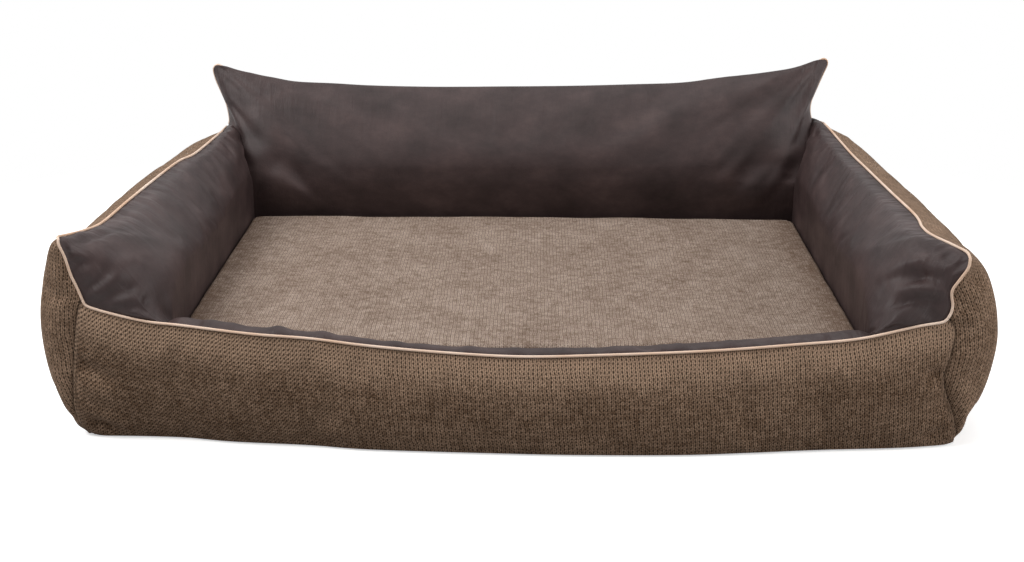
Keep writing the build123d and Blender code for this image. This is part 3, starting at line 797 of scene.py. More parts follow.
def threaded_cloth(name, dark, light, pitch, rough=0.9):
    """Plain woven or carded fibre: fine threads over and under, matt."""
    material, tree, shader = new_material(name, Roughness=rough)
    place = add_node(tree, "ShaderNodeTexCoord").outputs["Object"]
    threads = add_node(
        tree, "ShaderNodeTexVoronoi", {"Vector": place, "Scale": 1 / (pitch * MM), "Randomness": 0.35}
    )
    cloud = add_node(tree, "ShaderNodeTexNoise", {"Vector": place, "Scale": 14.0, "Detail": 4.0})
    tone = add_node(
        tree, "ShaderNodeMath", {0: threads.outputs["Distance"], 1: -0.35, 2: cloud.outputs["Fac"]},
        operation="MULTIPLY_ADD",
    )
    tint = colour_ramp(tree, tone.outputs[0], [(0.1, dark), (0.6, light)])
    bump = add_node(
        tree, "ShaderNodeBump", {"Strength": 0.4, "Distance": 0.0005, "Height": threads.outputs["Distance"]}
    )
    link_all(tree, shader, {"Base Color": tint, "Normal": bump.outputs[0]})
    return material


def piping_cotton():
    """Cotton bias tape over a cord: pale and matt, its threads in a warmer and a paler tone."""
    return threaded_cloth(
        "piping_cotton_woven", colour_of("piping_dark"), colour_of("piping_light"), 0.8, rough=0.8
    )


def lining_cloth():
    """Polyester lining, plain woven with threads of about 1.2 mm: dark, matt, hardly patterned."""
    return threaded_cloth("lining_polyester_woven", hex_to_linear("#1B1614"), colour_of("lining"), 1.2)


def liner_film():
    """Knitted liner with a laminated waterproof film: off-white, with a soft plastic gloss."""
    return threaded_cloth(
        "liner_film_laminated", hex_to_linear("#C9C9C4"), hex_to_linear("#E8E8E4"), 1.5, rough=0.4
    )


def fibre_filling():
    """Carded polyester fibre: white, matt, with loose clumps of about 3 mm."""
    return threaded_cloth("fibre_polyester_carded", hex_to_linear("#CFCFCB"), hex_to_linear("#F0F0EC"), 3.0)


def zip_tape():
    """Polyester zip tape, closely woven at 0.7 mm: dark brown and matt."""
    return threaded_cloth("zip_tape_woven", hex_to_linear("#241B16"), colour_of("zip_tape"), 0.7)


def cut_foam(name, dark, light, pore):
    """Polyurethane foam, cut: open pores of this size on a matt face."""
    material, tree, shader = new_material(name, Roughness=0.95)
    place = add_node(tree, "ShaderNodeTexCoord").outputs["Object"]
    pores = add_node(tree, "ShaderNodeTexVoronoi", {"Vector": place, "Scale": 1 / (pore * MM)})
    shades = [(0.0, hex_to_linear(dark)), (0.5, hex_to_linear(light))]
    tint = colour_ramp(tree, pores.outputs["Distance"], shades)
    bump = add_node(
        tree, "ShaderNodeBump", {"Strength": 0.5, "Distance": 0.0006, "Height": pores.outputs["Distance"]}
    )
    link_all(tree, shader, {"Base Color": tint, "Normal": bump.outputs[0]})
    return material


def memory_foam():
    """Viscoelastic foam, cut: fine pores, and the pale yellow that such foam has."""
    return cut_foam("memory_foam_cut", "#D9CFA8", "#EFE8CB", 1.4)


def support_foam():
    """Firm base foam, cut: coarser pores, and a cool grey."""
    return cut_foam("support_foam_cut", "#8E9A9E", "#BCC6C8", 2.0)


def zip_coil():
    """Nylon coil of a zip, wound: smooth and half glossy, with a turn every 1.6 mm."""
    material, tree, shader = new_material("zip_coil_nylon", Roughness=0.42, IOR=1.53)
    place = add_node(tree, "ShaderNodeTexCoord").outputs["Object"]
    # A wave of scale 1 turns every 0.314 m
    turn = 1.6
    turns = add_node(
        tree, "ShaderNodeTexWave", {"Vector": place, "Scale": 0.314 / (turn * MM)}, bands_direction="X"
    )
    shades = [(0.1, hex_to_linear("#15100C")), (0.7, hex_to_linear("#5A4A3E"))]
    tint = colour_ramp(tree, turns.outputs["Fac"], shades)
    bump = add_node(
        tree, "ShaderNodeBump", {"Strength": 0.9, "Distance": 0.0006, "Height": turns.outputs["Fac"]}
    )
    link_all(tree, shader, {"Base Color": tint, "Normal": bump.outputs[0]})
    return material


def zip_metal():
    """Zinc, die-cast and nickel plated: a bright satin mirror with faint tumbling marks."""
    material, tree, shader = new_material("zip_zinc_nickel_plated", Metallic=1.0, Roughness=0.3)
    place = add_node(tree, "ShaderNodeTexCoord").outputs["Object"]
    marks = add_node(tree, "ShaderNodeTexNoise", {"Vector": place, "Scale": 900.0, "Detail": 3.0})
    shades = [(0.3, colour_of("zip_metal")), (0.8, hex_to_linear("#E9E6E0"))]
    tint = colour_ramp(tree, marks.outputs["Fac"], shades)
    bump = add_node(
        tree, "ShaderNodeBump", {"Strength": 0.2, "Distance": 0.0001, "Height": marks.outputs["Fac"]}
    )
    link_all(tree, shader, {"Base Color": tint, "Normal": bump.outputs[0]})
    return material


MATERIAL_MAKERS = {
    "chenille": wall_chenille,
    "front_chenille": front_chenille,
    "mattress_chenille": mattress_chenille,
    "leather": faux_leather,
    "piping": piping_cotton,
    "lining_cloth": lining_cloth,
    "liner_film": liner_film,
    "fibre_filling": fibre_filling,
    "memory_foam": memory_foam,
    "support_foam": support_foam,
    "zip_tape": zip_tape,
    "zip_coil": zip_coil,
    "zip_metal": zip_metal,
}
MATERIALS = {}


def material_of(name):
    """The material of this name, made when it is first asked for."""
    if name not in MATERIALS:
        MATERIALS[name] = MATERIAL_MAKERS[name]()
    return MATERIALS[name]


# Covers

# Shape of each finished cover as a grid of points, for the filling that lies inside it
SHAPES = {}


def front_seam(count):
    """The front wall's top seam, behind and under its cord."""
    behind_cord = 1.2
    return smooth_line(FRONT_CORD, count) + np.array([0, behind_cord, -UNDER_CORD])


def seam_lines(side):
    """Rim, corner and low front seam of one arm, under their cords."""
    rim = smooth_line(RIM[side], 220) + np.array([0, 0, -UNDER_CORD])
    corner = smooth_line(CORNER_CORD[side], 60) + np.array([0, UNDER_CORD, 0])
    corner[:, 2] -= np.linspace(UNDER_CORD, 1, 60)
    front = front_seam(300)
    if side > 0:
        front = front[::-1]
    return rim, corner, front[front[:, 0] * side > INNER_WALL]


def rim_at(rim, y):
    """Distance out and height of an arm's rim at some places along it."""
    rim = rim[np.argsort(rim[:, 1])]
    out, height = (np.interp(y, rim[:, 1], rim[:, k]) for k in (0, 2))
    return np.abs(out), height


def arm_leather_grid(side, stations=88, across=60):
    """Leather of one arm: rim to floor across, and front to back along, with its round end."""
    rim, corner, low = seam_lines(side)
    inner_run = [
        (side * 427, -414, 148), (side * 426, -392, 135), (side * 427, -350, 119), (side * 429, -338, 95),
        (side * 430, -335, 60), (side * 430, -334, 3),
    ]
    edge = even(np.vstack([corner, low[1:], smooth_line(inner_run, 60)]), across)
    start, end = -322.0, 326.0
    clear_of_back = 6
    end_rows = 26
    rows = []
    for y in np.linspace(start, end, stations):
        out, z = rim_at(rim, y)
        inner = along(INNER, y)
        section = smooth_line(
            [
                (out, z), (out - 5, z + 4.5), (out - 0.33 * (out - inner), z + 7),
                (inner + 0.40 * (out - inner), 240), (inner + 13, 214), (inner + 3, 180), (inner, 140),
                (inner + 1, 75), (inner, 3),
            ],
            across,
        )
        rows.append(np.stack([side * section[:, 0], np.full(across, y), section[:, 1]], axis=1))
    body = np.array(rows)
    last = body[-1]
    rear = np.minimum(back_face_at(side * np.abs(last[:, 0]), last[:, 2]) + clear_of_back, SEAM_Y - 1)
    share = (body[:, 0, 1] - start) / (end - start)
    body[:, :, 1] = start + (rear[None] - start) * share[:, None]
    grid = np.vstack([rounded_end(edge, body[0], end_rows), body])
    return sew_to(grid, rim[rim[:, 1] <= grid[-1, 0, 1] + 0.5])


def side_cloth_grid(side, stations=92, across=44):
    """Outer cloth of one arm, from its rim down to the floor, and sewn to the back at its end."""
    start = -345.0
    end_rows = 15
    # Distance from the rear seam over which the side is drawn in to it
    drawn_in = 45
    # The seam allowance: how far it is turned in and back
    allowance = (6, 3)
    rim, corner, _ = seam_lines(side)
    edge = even(np.vstack([corner, smooth_line(CORNER_SEAM[side], 80)[1:]]), across)
    rows = []
    for y in np.linspace(start, SEAM_Y, stations):
        out, z = rim_at(rim, y)
        swell = along(SWELL, y)
        section = smooth_line(
            [
                (out, z), (out + 0.42 * (swell - out), z - 11), (out + 0.80 * (swell - out), 205),
                (swell, 141), (swell - 7, 80), (swell - 25, 35), (swell - 49, 2),
            ],
            across,
        )
        rows.append(np.stack([side * section[:, 0], np.full(across, y), section[:, 1]], axis=1))
    body = np.array(rows)
    flank = even(smooth_line(BACK_FLANK[side], 80), across)
    gap = np.stack([flank[:, 0], np.full(across, SEAM_Y), flank[:, 1]], axis=1) - body[-1]
    body += gap[None] * np.exp(-(((SEAM_Y - body[:, :1, 1:2]) / drawn_in) ** 2))
    turned = body[-1] + [-side * allowance[0], allowance[1], 0]
    return sew_to(np.vstack([rounded_end(edge, body[0], end_rows), body, turned[None]]), rim)


def front_cloth_grid(columns=170, rows=34):
    """Outer cloth of the front wall, from its piping down to the floor."""
    swell = 8.0
    width, drawn_in = 1060, 45
    top = front_seam(columns)
    foot = smooth_line(FRONT_FOOT, columns)
    left = smooth_line(CORNER_SEAM[-1], rows)
    right = smooth_line(CORNER_SEAM[1], rows)
    v = np.linspace(0, 1, rows)[:, None]
    u = np.linspace(0, 1, columns)[None, :]
    grid = top[None] * (1 - v[:, :, None]) + foot[None] * v[:, :, None]
    grid[:, :, 1] -= swell * np.sin(math.pi * v) ** 0.7 * (1 - (2 * u - 1) ** 8)
    for gap, distance in ((left[:, None] - grid[:, :1], u), (right[:, None] - grid[:, -1:], 1 - u)):
        grid = grid + gap * np.exp(-((distance * width / drawn_in) ** 1.4))[:, :, None]
    return grid


def front_strip_grid(columns=150, rows=34):
    """Leather on the inner side of the front wall, from the piping over and down to the floor."""
    half = 430
    # Inner edge of the wall's top at the arms, and how it bows forward and down in the middle
    edge_y, edge_z = -328, 129
    bow_y, bow_z = 76, 7
    crest = 5
    front = front_seam(400)
    grid = []
    for x in np.linspace(-half, half, columns):
        y, z = (np.interp(x, front[:, 0], front[:, k]) for k in (1, 2))
        bow = max(0.0, 1 - (x / INNER_WALL) ** 2)
        # The strip dives under the arms' round ends
        dive = 9.0 * max(0.0, (abs(x) - 404) / 26) ** 2 + 3.0 * max(0.0, (abs(x) - 250) / 180)
        inner_y, inner_z = edge_y - bow_y * bow, edge_z - bow_z * bow - dive
        middle = (y + 0.36 * (inner_y - y), max((z + inner_z) / 2 + crest + 1, z + crest) - dive)
        line = smooth_line(
            [
                (y, z), (y + 3, z + crest - dive), middle, (inner_y - 5, inner_z + 2),
                (inner_y, inner_z - 8), (inner_y, 60), (inner_y, 3),
            ],
            rows,
        )
        grid.append([(x, a, b) for a, b in line])
    return np.array(grid).transpose(1, 0, 2)


def back_edges(shares):
    """Left and right edges of the back cushion, from its ears down to the floor."""
    edges = []
    count = 400
    for side in (-1, 1):
        upper, lower = smooth_line(BACK_SIDE[side], 60), smooth_line(BACK_FLANK[side], 60)
        whole = even(np.vstack([upper, lower[1:]]), count)
        places = shares * (count - 1)
        edges.append(np.stack([np.interp(places, np.arange(count), whole[:, k]) for k in (0, 1)], axis=1))
    return edges


def back_profile():
    """Share of the back's height, and how far its face stands in front of its seam there."""
    return smooth_line([(z / BACK_TALL, SEAM_Y - y) for z, y in BACK_FACE], 200)


def back_turn(beside, reach, power):
    """How full the cushion is at a distance from its side edge, from 0 to 1."""
    return (1 - (1 - np.clip(beside / reach, 0, 1)) ** 2) ** power


def back_face_at(x, z):
    """How far forward the back cushion's face stands at a place seen from the front."""
    left, right = back_edges(np.linspace(0, 1, 120))
    left_x, right_x = (np.interp(z, edge[::-1, 1], edge[::-1, 0]) for edge in (left, right))
    half = np.where(x < 0, -left_x, right_x)
    top = smooth_line(BACK_TOP, 150)
    share = np.clip(z / np.interp(x, top[:, 0], top[:, 1]), 0, 1)
    face = back_profile()
    return SEAM_Y - np.interp(share, face[:, 0], face[:, 1]) * back_turn(half - np.abs(x), *FACE_TURN)


def back_grids(columns=150, rows=66):
    """Leather face and rear cloth of the back cushion, sewn together round their edge."""
    # How the face rises to its crest and sinks to its seam, and how the rear cloth sinks to it
    crest, seam_sink, rear_sink = 5.0, 16.0, 11.0
    crest_reach, seam_reach, rear_reach, ear_reach = 15, 2.2, 20, 25
    top = smooth_line(BACK_TOP, columns)
    v = np.linspace(0, 1, rows)[:, None] ** 1.5
    u = np.linspace(0, 1, columns)[None, :]
    left, right = back_edges(v[:, 0])
    bend_x, bend_z = (top[:, k] - (top[0, k] * (1 - u) + top[-1, k] * u) for k in (0, 1))
    x = left[:, :1] * (1 - u) + right[:, :1] * u + bend_x * (1 - v)
    z = left[:, 1:] * (1 - u) + right[:, 1:] * u + bend_z * (1 - v) ** 1.6
    beside = np.where(x < 0, -left[:, :1], right[:, :1]) - np.abs(x)
    high = np.interp(x, top[:, 0], top[:, 1])
    below = np.clip(high - z, 0, None)
    share = np.clip(z / high, 0, 1)
    face, rear = back_profile(), smooth_line(BACK_REAR, 200)
    face_y = SEAM_Y - np.interp(share, face[:, 0], face[:, 1]) * back_turn(beside, *FACE_TURN)
    rear_y = SEAM_Y + np.interp(share, rear[:, 0], rear[:, 1]) * back_turn(beside, *REAR_TURN)
    # The seam lies behind and below the face's crest, which hides the piping in front
    sunk = np.clip(beside / ear_reach, 0, 1)
    rise = crest * np.exp(-((below / crest_reach) ** 2)) - seam_sink * np.exp(-((below / seam_reach) ** 2))
    face_z = z + sunk * rise
    rear_z = z - sunk * rear_sink * np.exp(-((below / rear_reach) ** 2))
    return np.stack([x, face_y, face_z], axis=2), np.stack([x, rear_y, rear_z], axis=2)


def edges_held(grid, sides="nesw"):
    """Weight 1 for the sewn edges of a grid: first and last rows are n and s, columns w and e."""
    held = np.zeros(grid.shape[:2])
    for side, rows in (("n", held[0]), ("s", held[-1]), ("w", held[:, 0]), ("e", held[:, -1])):
        if side in sides:
            rows[:] = 1
    return held


def make_cover(
    name, grid, places, material, inside, replaced, held, pressure, grow, cap, keep=None, creases=(),
    slot=None,
):
    """One sewn cover of a wall: its grid, stuffed, creased, smoothed and handed to the frame."""
    # The filling keeps clear of the creases, which are wider and deeper for it
    wider, deeper = 1.7, 1.1
    piece = surface_mesh(name, grid, places, material_of(material))
    face_outwards(piece, inside)
    stuff(piece, held.ravel(), pressure, grow, cap)
    shaped = press(positions(piece.data).reshape(grid.shape) / MM, inside, creases)
    if keep:
        shaped = keep(shaped)
    place_points(piece, shaped)
    dents = [(*ends, wider * width, deeper * depth) for *ends, width, depth in creases if depth < 0]
    SHAPES[name] = press(shaped, inside, dents)
    if slot:
        cut_slot(piece, *slot)
    subdivide(piece)
    finish_piece(piece, "bed", [replaced])
    return piece


def cut_slot(obj, half, low, high, lip=2.4):
    """Open a level slot for a zip in a rear cover, and turn its edges in."""
    # Reach of the faces that go, of the rim that they leave, and of the slot's rounded ends
    cut_reach, rim_beyond, rim_reach, end_reach = 5.5, 8, 12, 1.5
    form = bmesh.new()
    form.from_mesh(obj.data)
    middle = (low + high) / 2

    def near_slot(place, beyond, reach):
        """Whether a place is this near to the slot's ends and middle line."""
        return abs(place.x / MM) < half + beyond and abs(place.z / MM - middle) < reach

    faces = [f for f in form.faces if near_slot(f.calc_center_median(), 0, cut_reach)]
    bmesh.ops.delete(form, geom=faces, context="FACES")
    rim = [
        e for e in form.edges
        if e.is_boundary and all(near_slot(v.co, rim_beyond, rim_reach) for v in e.verts)
    ]
    for vert in {v for e in rim for v in e.verts}:
        height = vert.co.z / MM - middle
        if abs(height) >= end_reach:
            vert.co.z = (high if height > 0 else low) * MM
    turned = bmesh.ops.extrude_edge_only(form, edges=rim)["geom"]
    for vert in (g for g in turned if isinstance(g, bmesh.types.BMVert)):
        vert.co.y -= lip * MM
    form.to_mesh(obj.data)
    form.free()


def off_the_floor(points):
    """Keep a cover's foot above the floor."""
    points[:, :, 2] = np.maximum(points[:, :, 2], FLOOR_GAP)
    return points


def clear_of_mattress(points):
    """Keep an arm's leather outside the mattress's room, and behind the front piping."""
    # The arm may reach forward by this much for each millimetre above the cord's upper side
    overhang, cord_top, behind_cord = 1.2, 2.5, 1.5
    corner, corner_reach = 516, 14
    out, side = np.abs(points[:, :, 0]), np.sign(points[:, :, 0])
    points[:, :, 0] = side * np.maximum(out, ROOM_HALF)
    cord = smooth_line(FRONT_CORD, 400)
    cord_y, cord_z = (np.interp(points[:, :, 0], cord[:, 0], cord[:, k]) for k in (1, 2))
    above = np.clip(points[:, :, 2] - cord_z - cord_top, 0, None)
    beside = np.clip((corner - out) / corner_reach, 0, 1)
    wanted = cord_y + behind_cord - overhang * above
    points[:, :, 1] += beside * np.clip(wanted - points[:, :, 1], 0, None)
    return points


def raise_crest(points):
    """Bring the back's crest, just in front of its sunk seam, to the height of its outline."""
    above_seam, ear_reach, seam_rows, reach = 3.0, 26, 4, 40
    top = smooth_line(BACK_TOP, 300)
    x = points[0, :, 0]
    beside = np.minimum(x - top[0, 0], top[-1, 0] - x)
    high = points[:, :, 2].max(axis=0)
    gap = (np.interp(x, top[:, 0], top[:, 1]) + above_seam - high) * np.clip(beside / ear_reach, 0, 1)
    start = np.clip(np.arange(len(points)) / seam_rows, 0, 1)[:, None]
    points[:, :, 2] += gap * start * np.exp(-(((high - points[:, :, 2]) / reach) ** 2))
    return points


def inside_the_frame(points):
    """Keep the rear cloth level with the zip that closes it."""
    points[:, :, 1] = np.minimum(points[:, :, 1], REAR_CLOTH_Y)
    return points


def make_arm(side):
    """Leather, side cloth and piping of one arm."""
    word = "left" if side < 0 else "right"
    inside = (side * ARM_INSIDE, 0, 120)
    # Gathers slant, grow off the seam and fade down the leather
    slant, seam_reach, fade_reach, seed = 0.25, 5, 50, 11 + side
    foot_columns = 14
    grid = arm_leather_grid(side)
    places = cloth_places(grid)
    gap = edge_gap(grid, "w")
    gathers = ripple(places[:, :, 0] + slant * gap, size_of("gather_pitch"), seed)
    gathers *= size_of("gather_depth") * np.exp(-((gap / fade_reach) ** 1.2))
    gathers *= 1 - np.exp(-((gap / seam_reach) ** 2))
    grid = grid + grid_normals(grid, inside) * gathers[:, :, None]
    held = edges_held(grid)
    # The leather's foot can hardly swell beside the mattress
    held[:, -foot_columns:] = np.maximum(held[:, -foot_columns:], 0.5)
    make_cover(
        f"{word}_arm_leather_cover", grid, places, "leather", inside, f"{word}_arm_leather", held,
        pressure=bpy.context.scene.dog_bed_sizes.stuffing, grow=0.03, cap=9.0,
        keep=clear_of_mattress, creases=ARM_CREASES[side],
    )
    grid = puff(side_cloth_grid(side), inside, "nw")
    held = edges_held(grid)
    # The row before the seam allowance is the seam with the back
    held[-2] = 1
    make_cover(
        f"{word}_side_cloth_cover", grid, cloth_places(grid), "chenille", inside, f"{word}_side_cloth",
        held, pressure=3.0, grow=0.012, cap=6.0, keep=off_the_floor, creases=SIDE_CREASES[side],
    )
    line = even(np.vstack([smooth_line(RIM[side], 300)[::-1], smooth_line(CORNER_CORD[side], 60)[1:]]), 330)
    cord = cord_mesh(f"{word}_arm_piping_cord", line, material_of("piping"))
    finish_piece(cord, "bed", [f"{word}_arm_piping"])


def make_front():
    """Cloth, leather strip and piping of the front wall."""
    inside = (0, -380, 60)
    grid = puff(front_cloth_grid(), inside, "new")
    places = cloth_places(grid, True, "new")
    # The painted light shows the top seam far down the wall, and the side seams, with their painted shade in
    # the groove, only close beside them
    beside_seam = 5
    places[:, :, 2] = np.where(edge_gap(grid, "ew") < beside_seam, places[:, :, 2], edge_gap(grid, "n"))
    make_cover(
        "front_cloth_cover", grid, places, "front_chenille", inside, "front_cloth", edges_held(grid),
        pressure=3.0, grow=0.012, cap=6.0, keep=off_the_floor, creases=FRONT_CREASES,
    )
    # Rucks of the strip: their pitch, height, distance from the piping and reach, and how far
    # from the arms they begin
    pitch, height, middle, reach, begin, seed = 42, 3.2, 16, 15, 40, 5
    grid = front_strip_grid()
    half = grid[0, -1, 0]
    inside = (0, -425, 60)
    places = cloth_places(grid, True, "n")
    waves = ripple(places[:, :, 0], pitch, seed) * height
    waves *= np.exp(-(((places[:, :, 1] - middle) / reach) ** 2))
    waves *= np.clip((half - np.abs(grid[:, :, 0])) / begin, 0, 1)
    grid = grid + grid_normals(grid, inside) * waves[:, :, None]
    piece = surface_mesh("front_leather_cover", grid, places, material_of("leather"))
    face_outwards(piece, inside)
    SHAPES["front_leather_cover"] = grid
    subdivide(piece)
    finish_piece(piece, "bed", ["front_leather"])
    cord = cord_mesh("front_piping_cord", smooth_line(FRONT_CORD, 420), material_of("piping"))
    finish_piece(cord, "bed", ["front_piping"])


def make_back():
    """Leather face, rear cloth with its zip slot, and piping of the back cushion."""
    leather, cloth = back_grids()
    inside = (0, 400, 150)
    make_cover(
        "back_leather_cover", leather, cloth_places(leather, True, "new"), "leather", inside, "back_leather",
        edges_held(leather), pressure=4.0, grow=0.01, cap=8.0, keep=raise_crest, creases=BACK_CREASES,
    )
    make_cover(
        "back_cloth_cover", cloth, cloth_places(cloth, True, "new"), "chenille", inside, "back_cloth",
        edges_held(cloth), pressure=0.5, grow=0.0, cap=1.0, keep=inside_the_frame, slot=BACK_SLOT,
    )
    # The cord runs up from the arms' rims, along the top and down again, behind the leather
    rim_height, behind = 246, 2.2
    sides = [leather[:, k][leather[:, k, 2] > rim_height] for k in (0, -1)]
    run = np.vstack([sides[0][::-1], leather[0, 1:-1], sides[1]])
    cord = cord_mesh("back_piping_cord", even(run + [0, behind, 0], 440), material_of("piping"))
    finish_piece(cord, "bed", ["back_piping"])


def spread(grid, rows, cols):
    """The same surface with this many rows and columns."""
    wide = np.array([even(row, cols) for row in grid])
    return np.array([even(wide[:, c], rows) for c in range(cols)]).transpose(1, 0, 2)


def make_filling(name, node, one, other, rows=90, cols=34):
    """Fibre filling as one closed form inside two covers that share their first column."""
    lowest = 3.4
    passes = 2
    one, other = spread(one, rows, cols), spread(other, rows, cols)
    rings = np.concatenate([other[:, ::-1], one[:, 1:]], axis=1)
    count = rings.shape[1]
    faces = [
        (r * count + c, r * count + (c + 1) % count, (r + 1) * count + (c + 1) % count, (r + 1) * count + c)
        for r in range(rows - 1) for c in range(count)
    ]
    ends = np.array([rings[0].mean(axis=0), rings[-1].mean(axis=0)])
    first = rows * count
    faces += [((c + 1) % count, c, first) for c in range(count)]
    faces += [(first - count + c, first - count + (c + 1) % count, first + 1) for c in range(count)]
    mesh = bpy.data.meshes.new(name)
    mesh.from_pydata((np.vstack([rings.reshape(-1, 3), ends]) * MM).tolist(), [], faces)
    mesh.materials.append(material_of("fibre_filling"))
    form = bmesh.new()
    form.from_mesh(mesh)
    bmesh.ops.recalc_face_normals(form, faces=form.faces)
    for _ in range(passes):
        form.normal_update()
        for vert in form.verts:
            vert.co -= vert.normal * (size_of("filling_inset") / passes * MM)
        bmesh.ops.smooth_vert(
            form, verts=form.verts, factor=0.5, use_axis_x=True, use_axis_y=True, use_axis_z=True
        )
    for vert in form.verts:
        vert.co.z = max(vert.co.z, lowest * MM)
    for face in form.faces:
        face.smooth = True
    form.to_mesh(mesh)
    form.free()
    piece = bpy.data.objects.new(name, mesh)
    bpy.context.scene.collection.objects.link(piece)
    finish_piece(piece, "bed", [node])


def make_fillings():
    """Fibre in the arms, the front wall and the back, each inside its covers."""
    # Rows and columns of the covers beside their corners, where they lie too close for fibre
    leather_rows, cloth_rows, ear_columns = 5, 3, 10
    # The fibre of the front ends at the arms, and that of the back clear of its rear cloth
    front_half, behind_back = 424, 1.5
    for word in ("left", "right"):
        make_filling(
            f"{word}_arm_fibre", f"{word}_arm_filling",
            SHAPES[f"{word}_arm_leather_cover"][leather_rows:],
            SHAPES[f"{word}_side_cloth_cover"][cloth_rows:],
        )
    walls = []
    for name in ("front_leather_cover", "front_cloth_cover"):
        shape = SHAPES[name]
        walls.append(shape[:, np.abs(shape[0, :, 0]) < front_half].transpose(1, 0, 2))
    make_filling("front_fibre", "front_filling", *walls, cols=24)
    face, rear = (
        SHAPES[name][:, ear_columns:-ear_columns].transpose(1, 0, 2)
        for name in ("back_leather_cover", "back_cloth_cover")
    )
    make_filling("back_fibre", "back_filling", face, rear - [0, behind_back, 0], rows=100, cols=40)


# Mattress


def mattress_outline(count, inset=0.0):
    """Evenly spaced plan of the mattress, from the middle of its front edge round."""
    half = MATTRESS_HALF - inset
    corner_y, middle_y, rear_y = -324.0 + inset, -400.0 + inset, MATTRESS_REAR - inset
    radius = 16.0 - inset * 0.5
    # The front corners start to turn this far along the bow, and this steeply
    bow_share, start_angle, corner_drop = 0.93, math.radians(35), 13
    bow = corner_y - middle_y
    bow_radius = (half ** 2 + bow ** 2) / (2 * bow)
    centre_y = middle_y + bow_radius
    reach = math.asin(half / bow_radius) * bow_share
    line = [
        (bow_radius * math.sin(a), centre_y - bow_radius * math.cos(a)) for a in np.linspace(0, reach, 60)
    ]
    line += [
        (half - radius + radius * math.sin(a), corner_y + corner_drop - radius * math.cos(a))
        for a in np.linspace(start_angle, math.pi / 2, 14)
    ]
    line += [
        (half - radius + radius * math.cos(a), rear_y - radius + radius * math.sin(a))
        for a in np.linspace(0, math.pi / 2, 16)
    ]
    line += [(0, rear_y)]
    right = np.array(line)
    left = right[::-1] * np.array([-1, 1])
    return even(np.vstack([right, left[1:]]), count)


def lying_height(ring):
    """Height of the lying face: a little higher along its middle, and softly uneven."""
    crown_half, lowered = 590, 0.3
    x, y = ring[:, 0], ring[:, 1]
    rise = LYING_HEIGHT + size_of("crown") * (1 - (x / crown_half) ** 2)
    # Two slanting waves, 170 and 110 mm long
    uneven = 0.9 * ripple(x + 0.5 * y, 170, 31) + 0.7 * ripple(y - 0.3 * x, 110, 32)
    return rise + np.clip(uneven, -0.9, 0.7) - lowered


def slot_edge(ring, edge, join):
    """Height of a cover's edge: along the zip's slot, or where both covers meet beside it."""
    half, end_reach, rear_reach = MATTRESS_SLOT[0], 5, 4
    beside = np.clip((half - np.abs(ring[:, 0])) / end_reach, 0, 1)
    beside *= ring[:, 1] > MATTRESS_REAR - rear_reach
    return join + (edge - join) * beside


def mattress_grids():
    """Top cover as rings that spread from the middle and go down the sides, and the base cover."""
    count = 401
    # How far the edges are tucked in at the zip, the seam beside it, and the base's underside
    tuck, seam_top, seam_base, foot, underside = 2.4, 26.2, 25.8, 3.4, 3.3
    radius = size_of("edge_radius")
    outline = mattress_outline(count)
    inner = mattress_outline(count, radius)
    tucked = mattress_outline(count, tuck)
    centre = np.array(MATTRESS_INSIDE[:2], float)
    rings = []
    for share in np.linspace(0.0, 1.0, 64):
        ring = centre + (inner - centre) * share
        rings.append(np.column_stack([ring, lying_height(ring)]))
    for a in np.linspace(0, math.pi / 2, 8)[1:]:
        ring = inner + (outline - inner) * math.sin(a)
        rings.append(np.column_stack([ring, lying_height(inner) - radius * (1 - math.cos(a))]))
    low = slot_edge(outline, MATTRESS_SLOT[2], seam_top)
    for share in np.linspace(0, 1, 12)[1:]:
        rings.append(np.column_stack([outline, (lying_height(inner) - radius) * (1 - share) + low * share]))
    rings.append(np.column_stack([tucked, low]))
    top = np.array(rings)
    high = slot_edge(outline, MATTRESS_SLOT[1], seam_base)
    rings = [np.column_stack([tucked, high])]
    for share in np.linspace(0, 1, 5):
        rings.append(np.column_stack([outline, high + (foot - high) * share]))
    for share in np.linspace(1.0, 0.0, 30)[1:]:
        ring = centre + (outline - centre) * share
        rings.append(np.column_stack([ring, np.full(count, underside)]))
    return top, np.array(rings)


def plan_places(grid, top):
    """Cloth places read from above and unrolled down the sides, and their distance from the
    mattress's left and right edges, along which painted shade of the arms darkens it."""
    at_edge = 4
    places = grid.copy()
    depth = np.clip(top - grid[:, :, 2], 0, None)
    direction = grid[:, :, :2] / np.maximum(np.linalg.norm(grid[:, :, :2], axis=2), 1)[:, :, None]
    places[:, :, :2] += direction * depth[:, :, None]
    places[:, :, 2] = np.maximum(MATTRESS_HALF - np.abs(grid[:, :, 0]) + at_edge, depth)
    return places


def make_mattress():
    """Chenille top cover and lining base cover, which the zip joins at the rear."""
    top, base = mattress_grids()
    base_height = 26
    for name, grid, height, creases, material in (
        ("mattress_top", top, LYING_HEIGHT, MATTRESS_CREASES, "mattress_chenille"),
        ("mattress_base", base, base_height, (), "lining_cloth"),
    ):
        places = plan_places(grid, height)
        grid = press(grid, MATTRESS_INSIDE, creases, 1.0)
        piece = surface_mesh(name, grid, places, material_of(material), ring=True)
        face_outwards(piece, MATTRESS_INSIDE)
        finish_piece(piece, "mattress", [f"{name}_cover"])


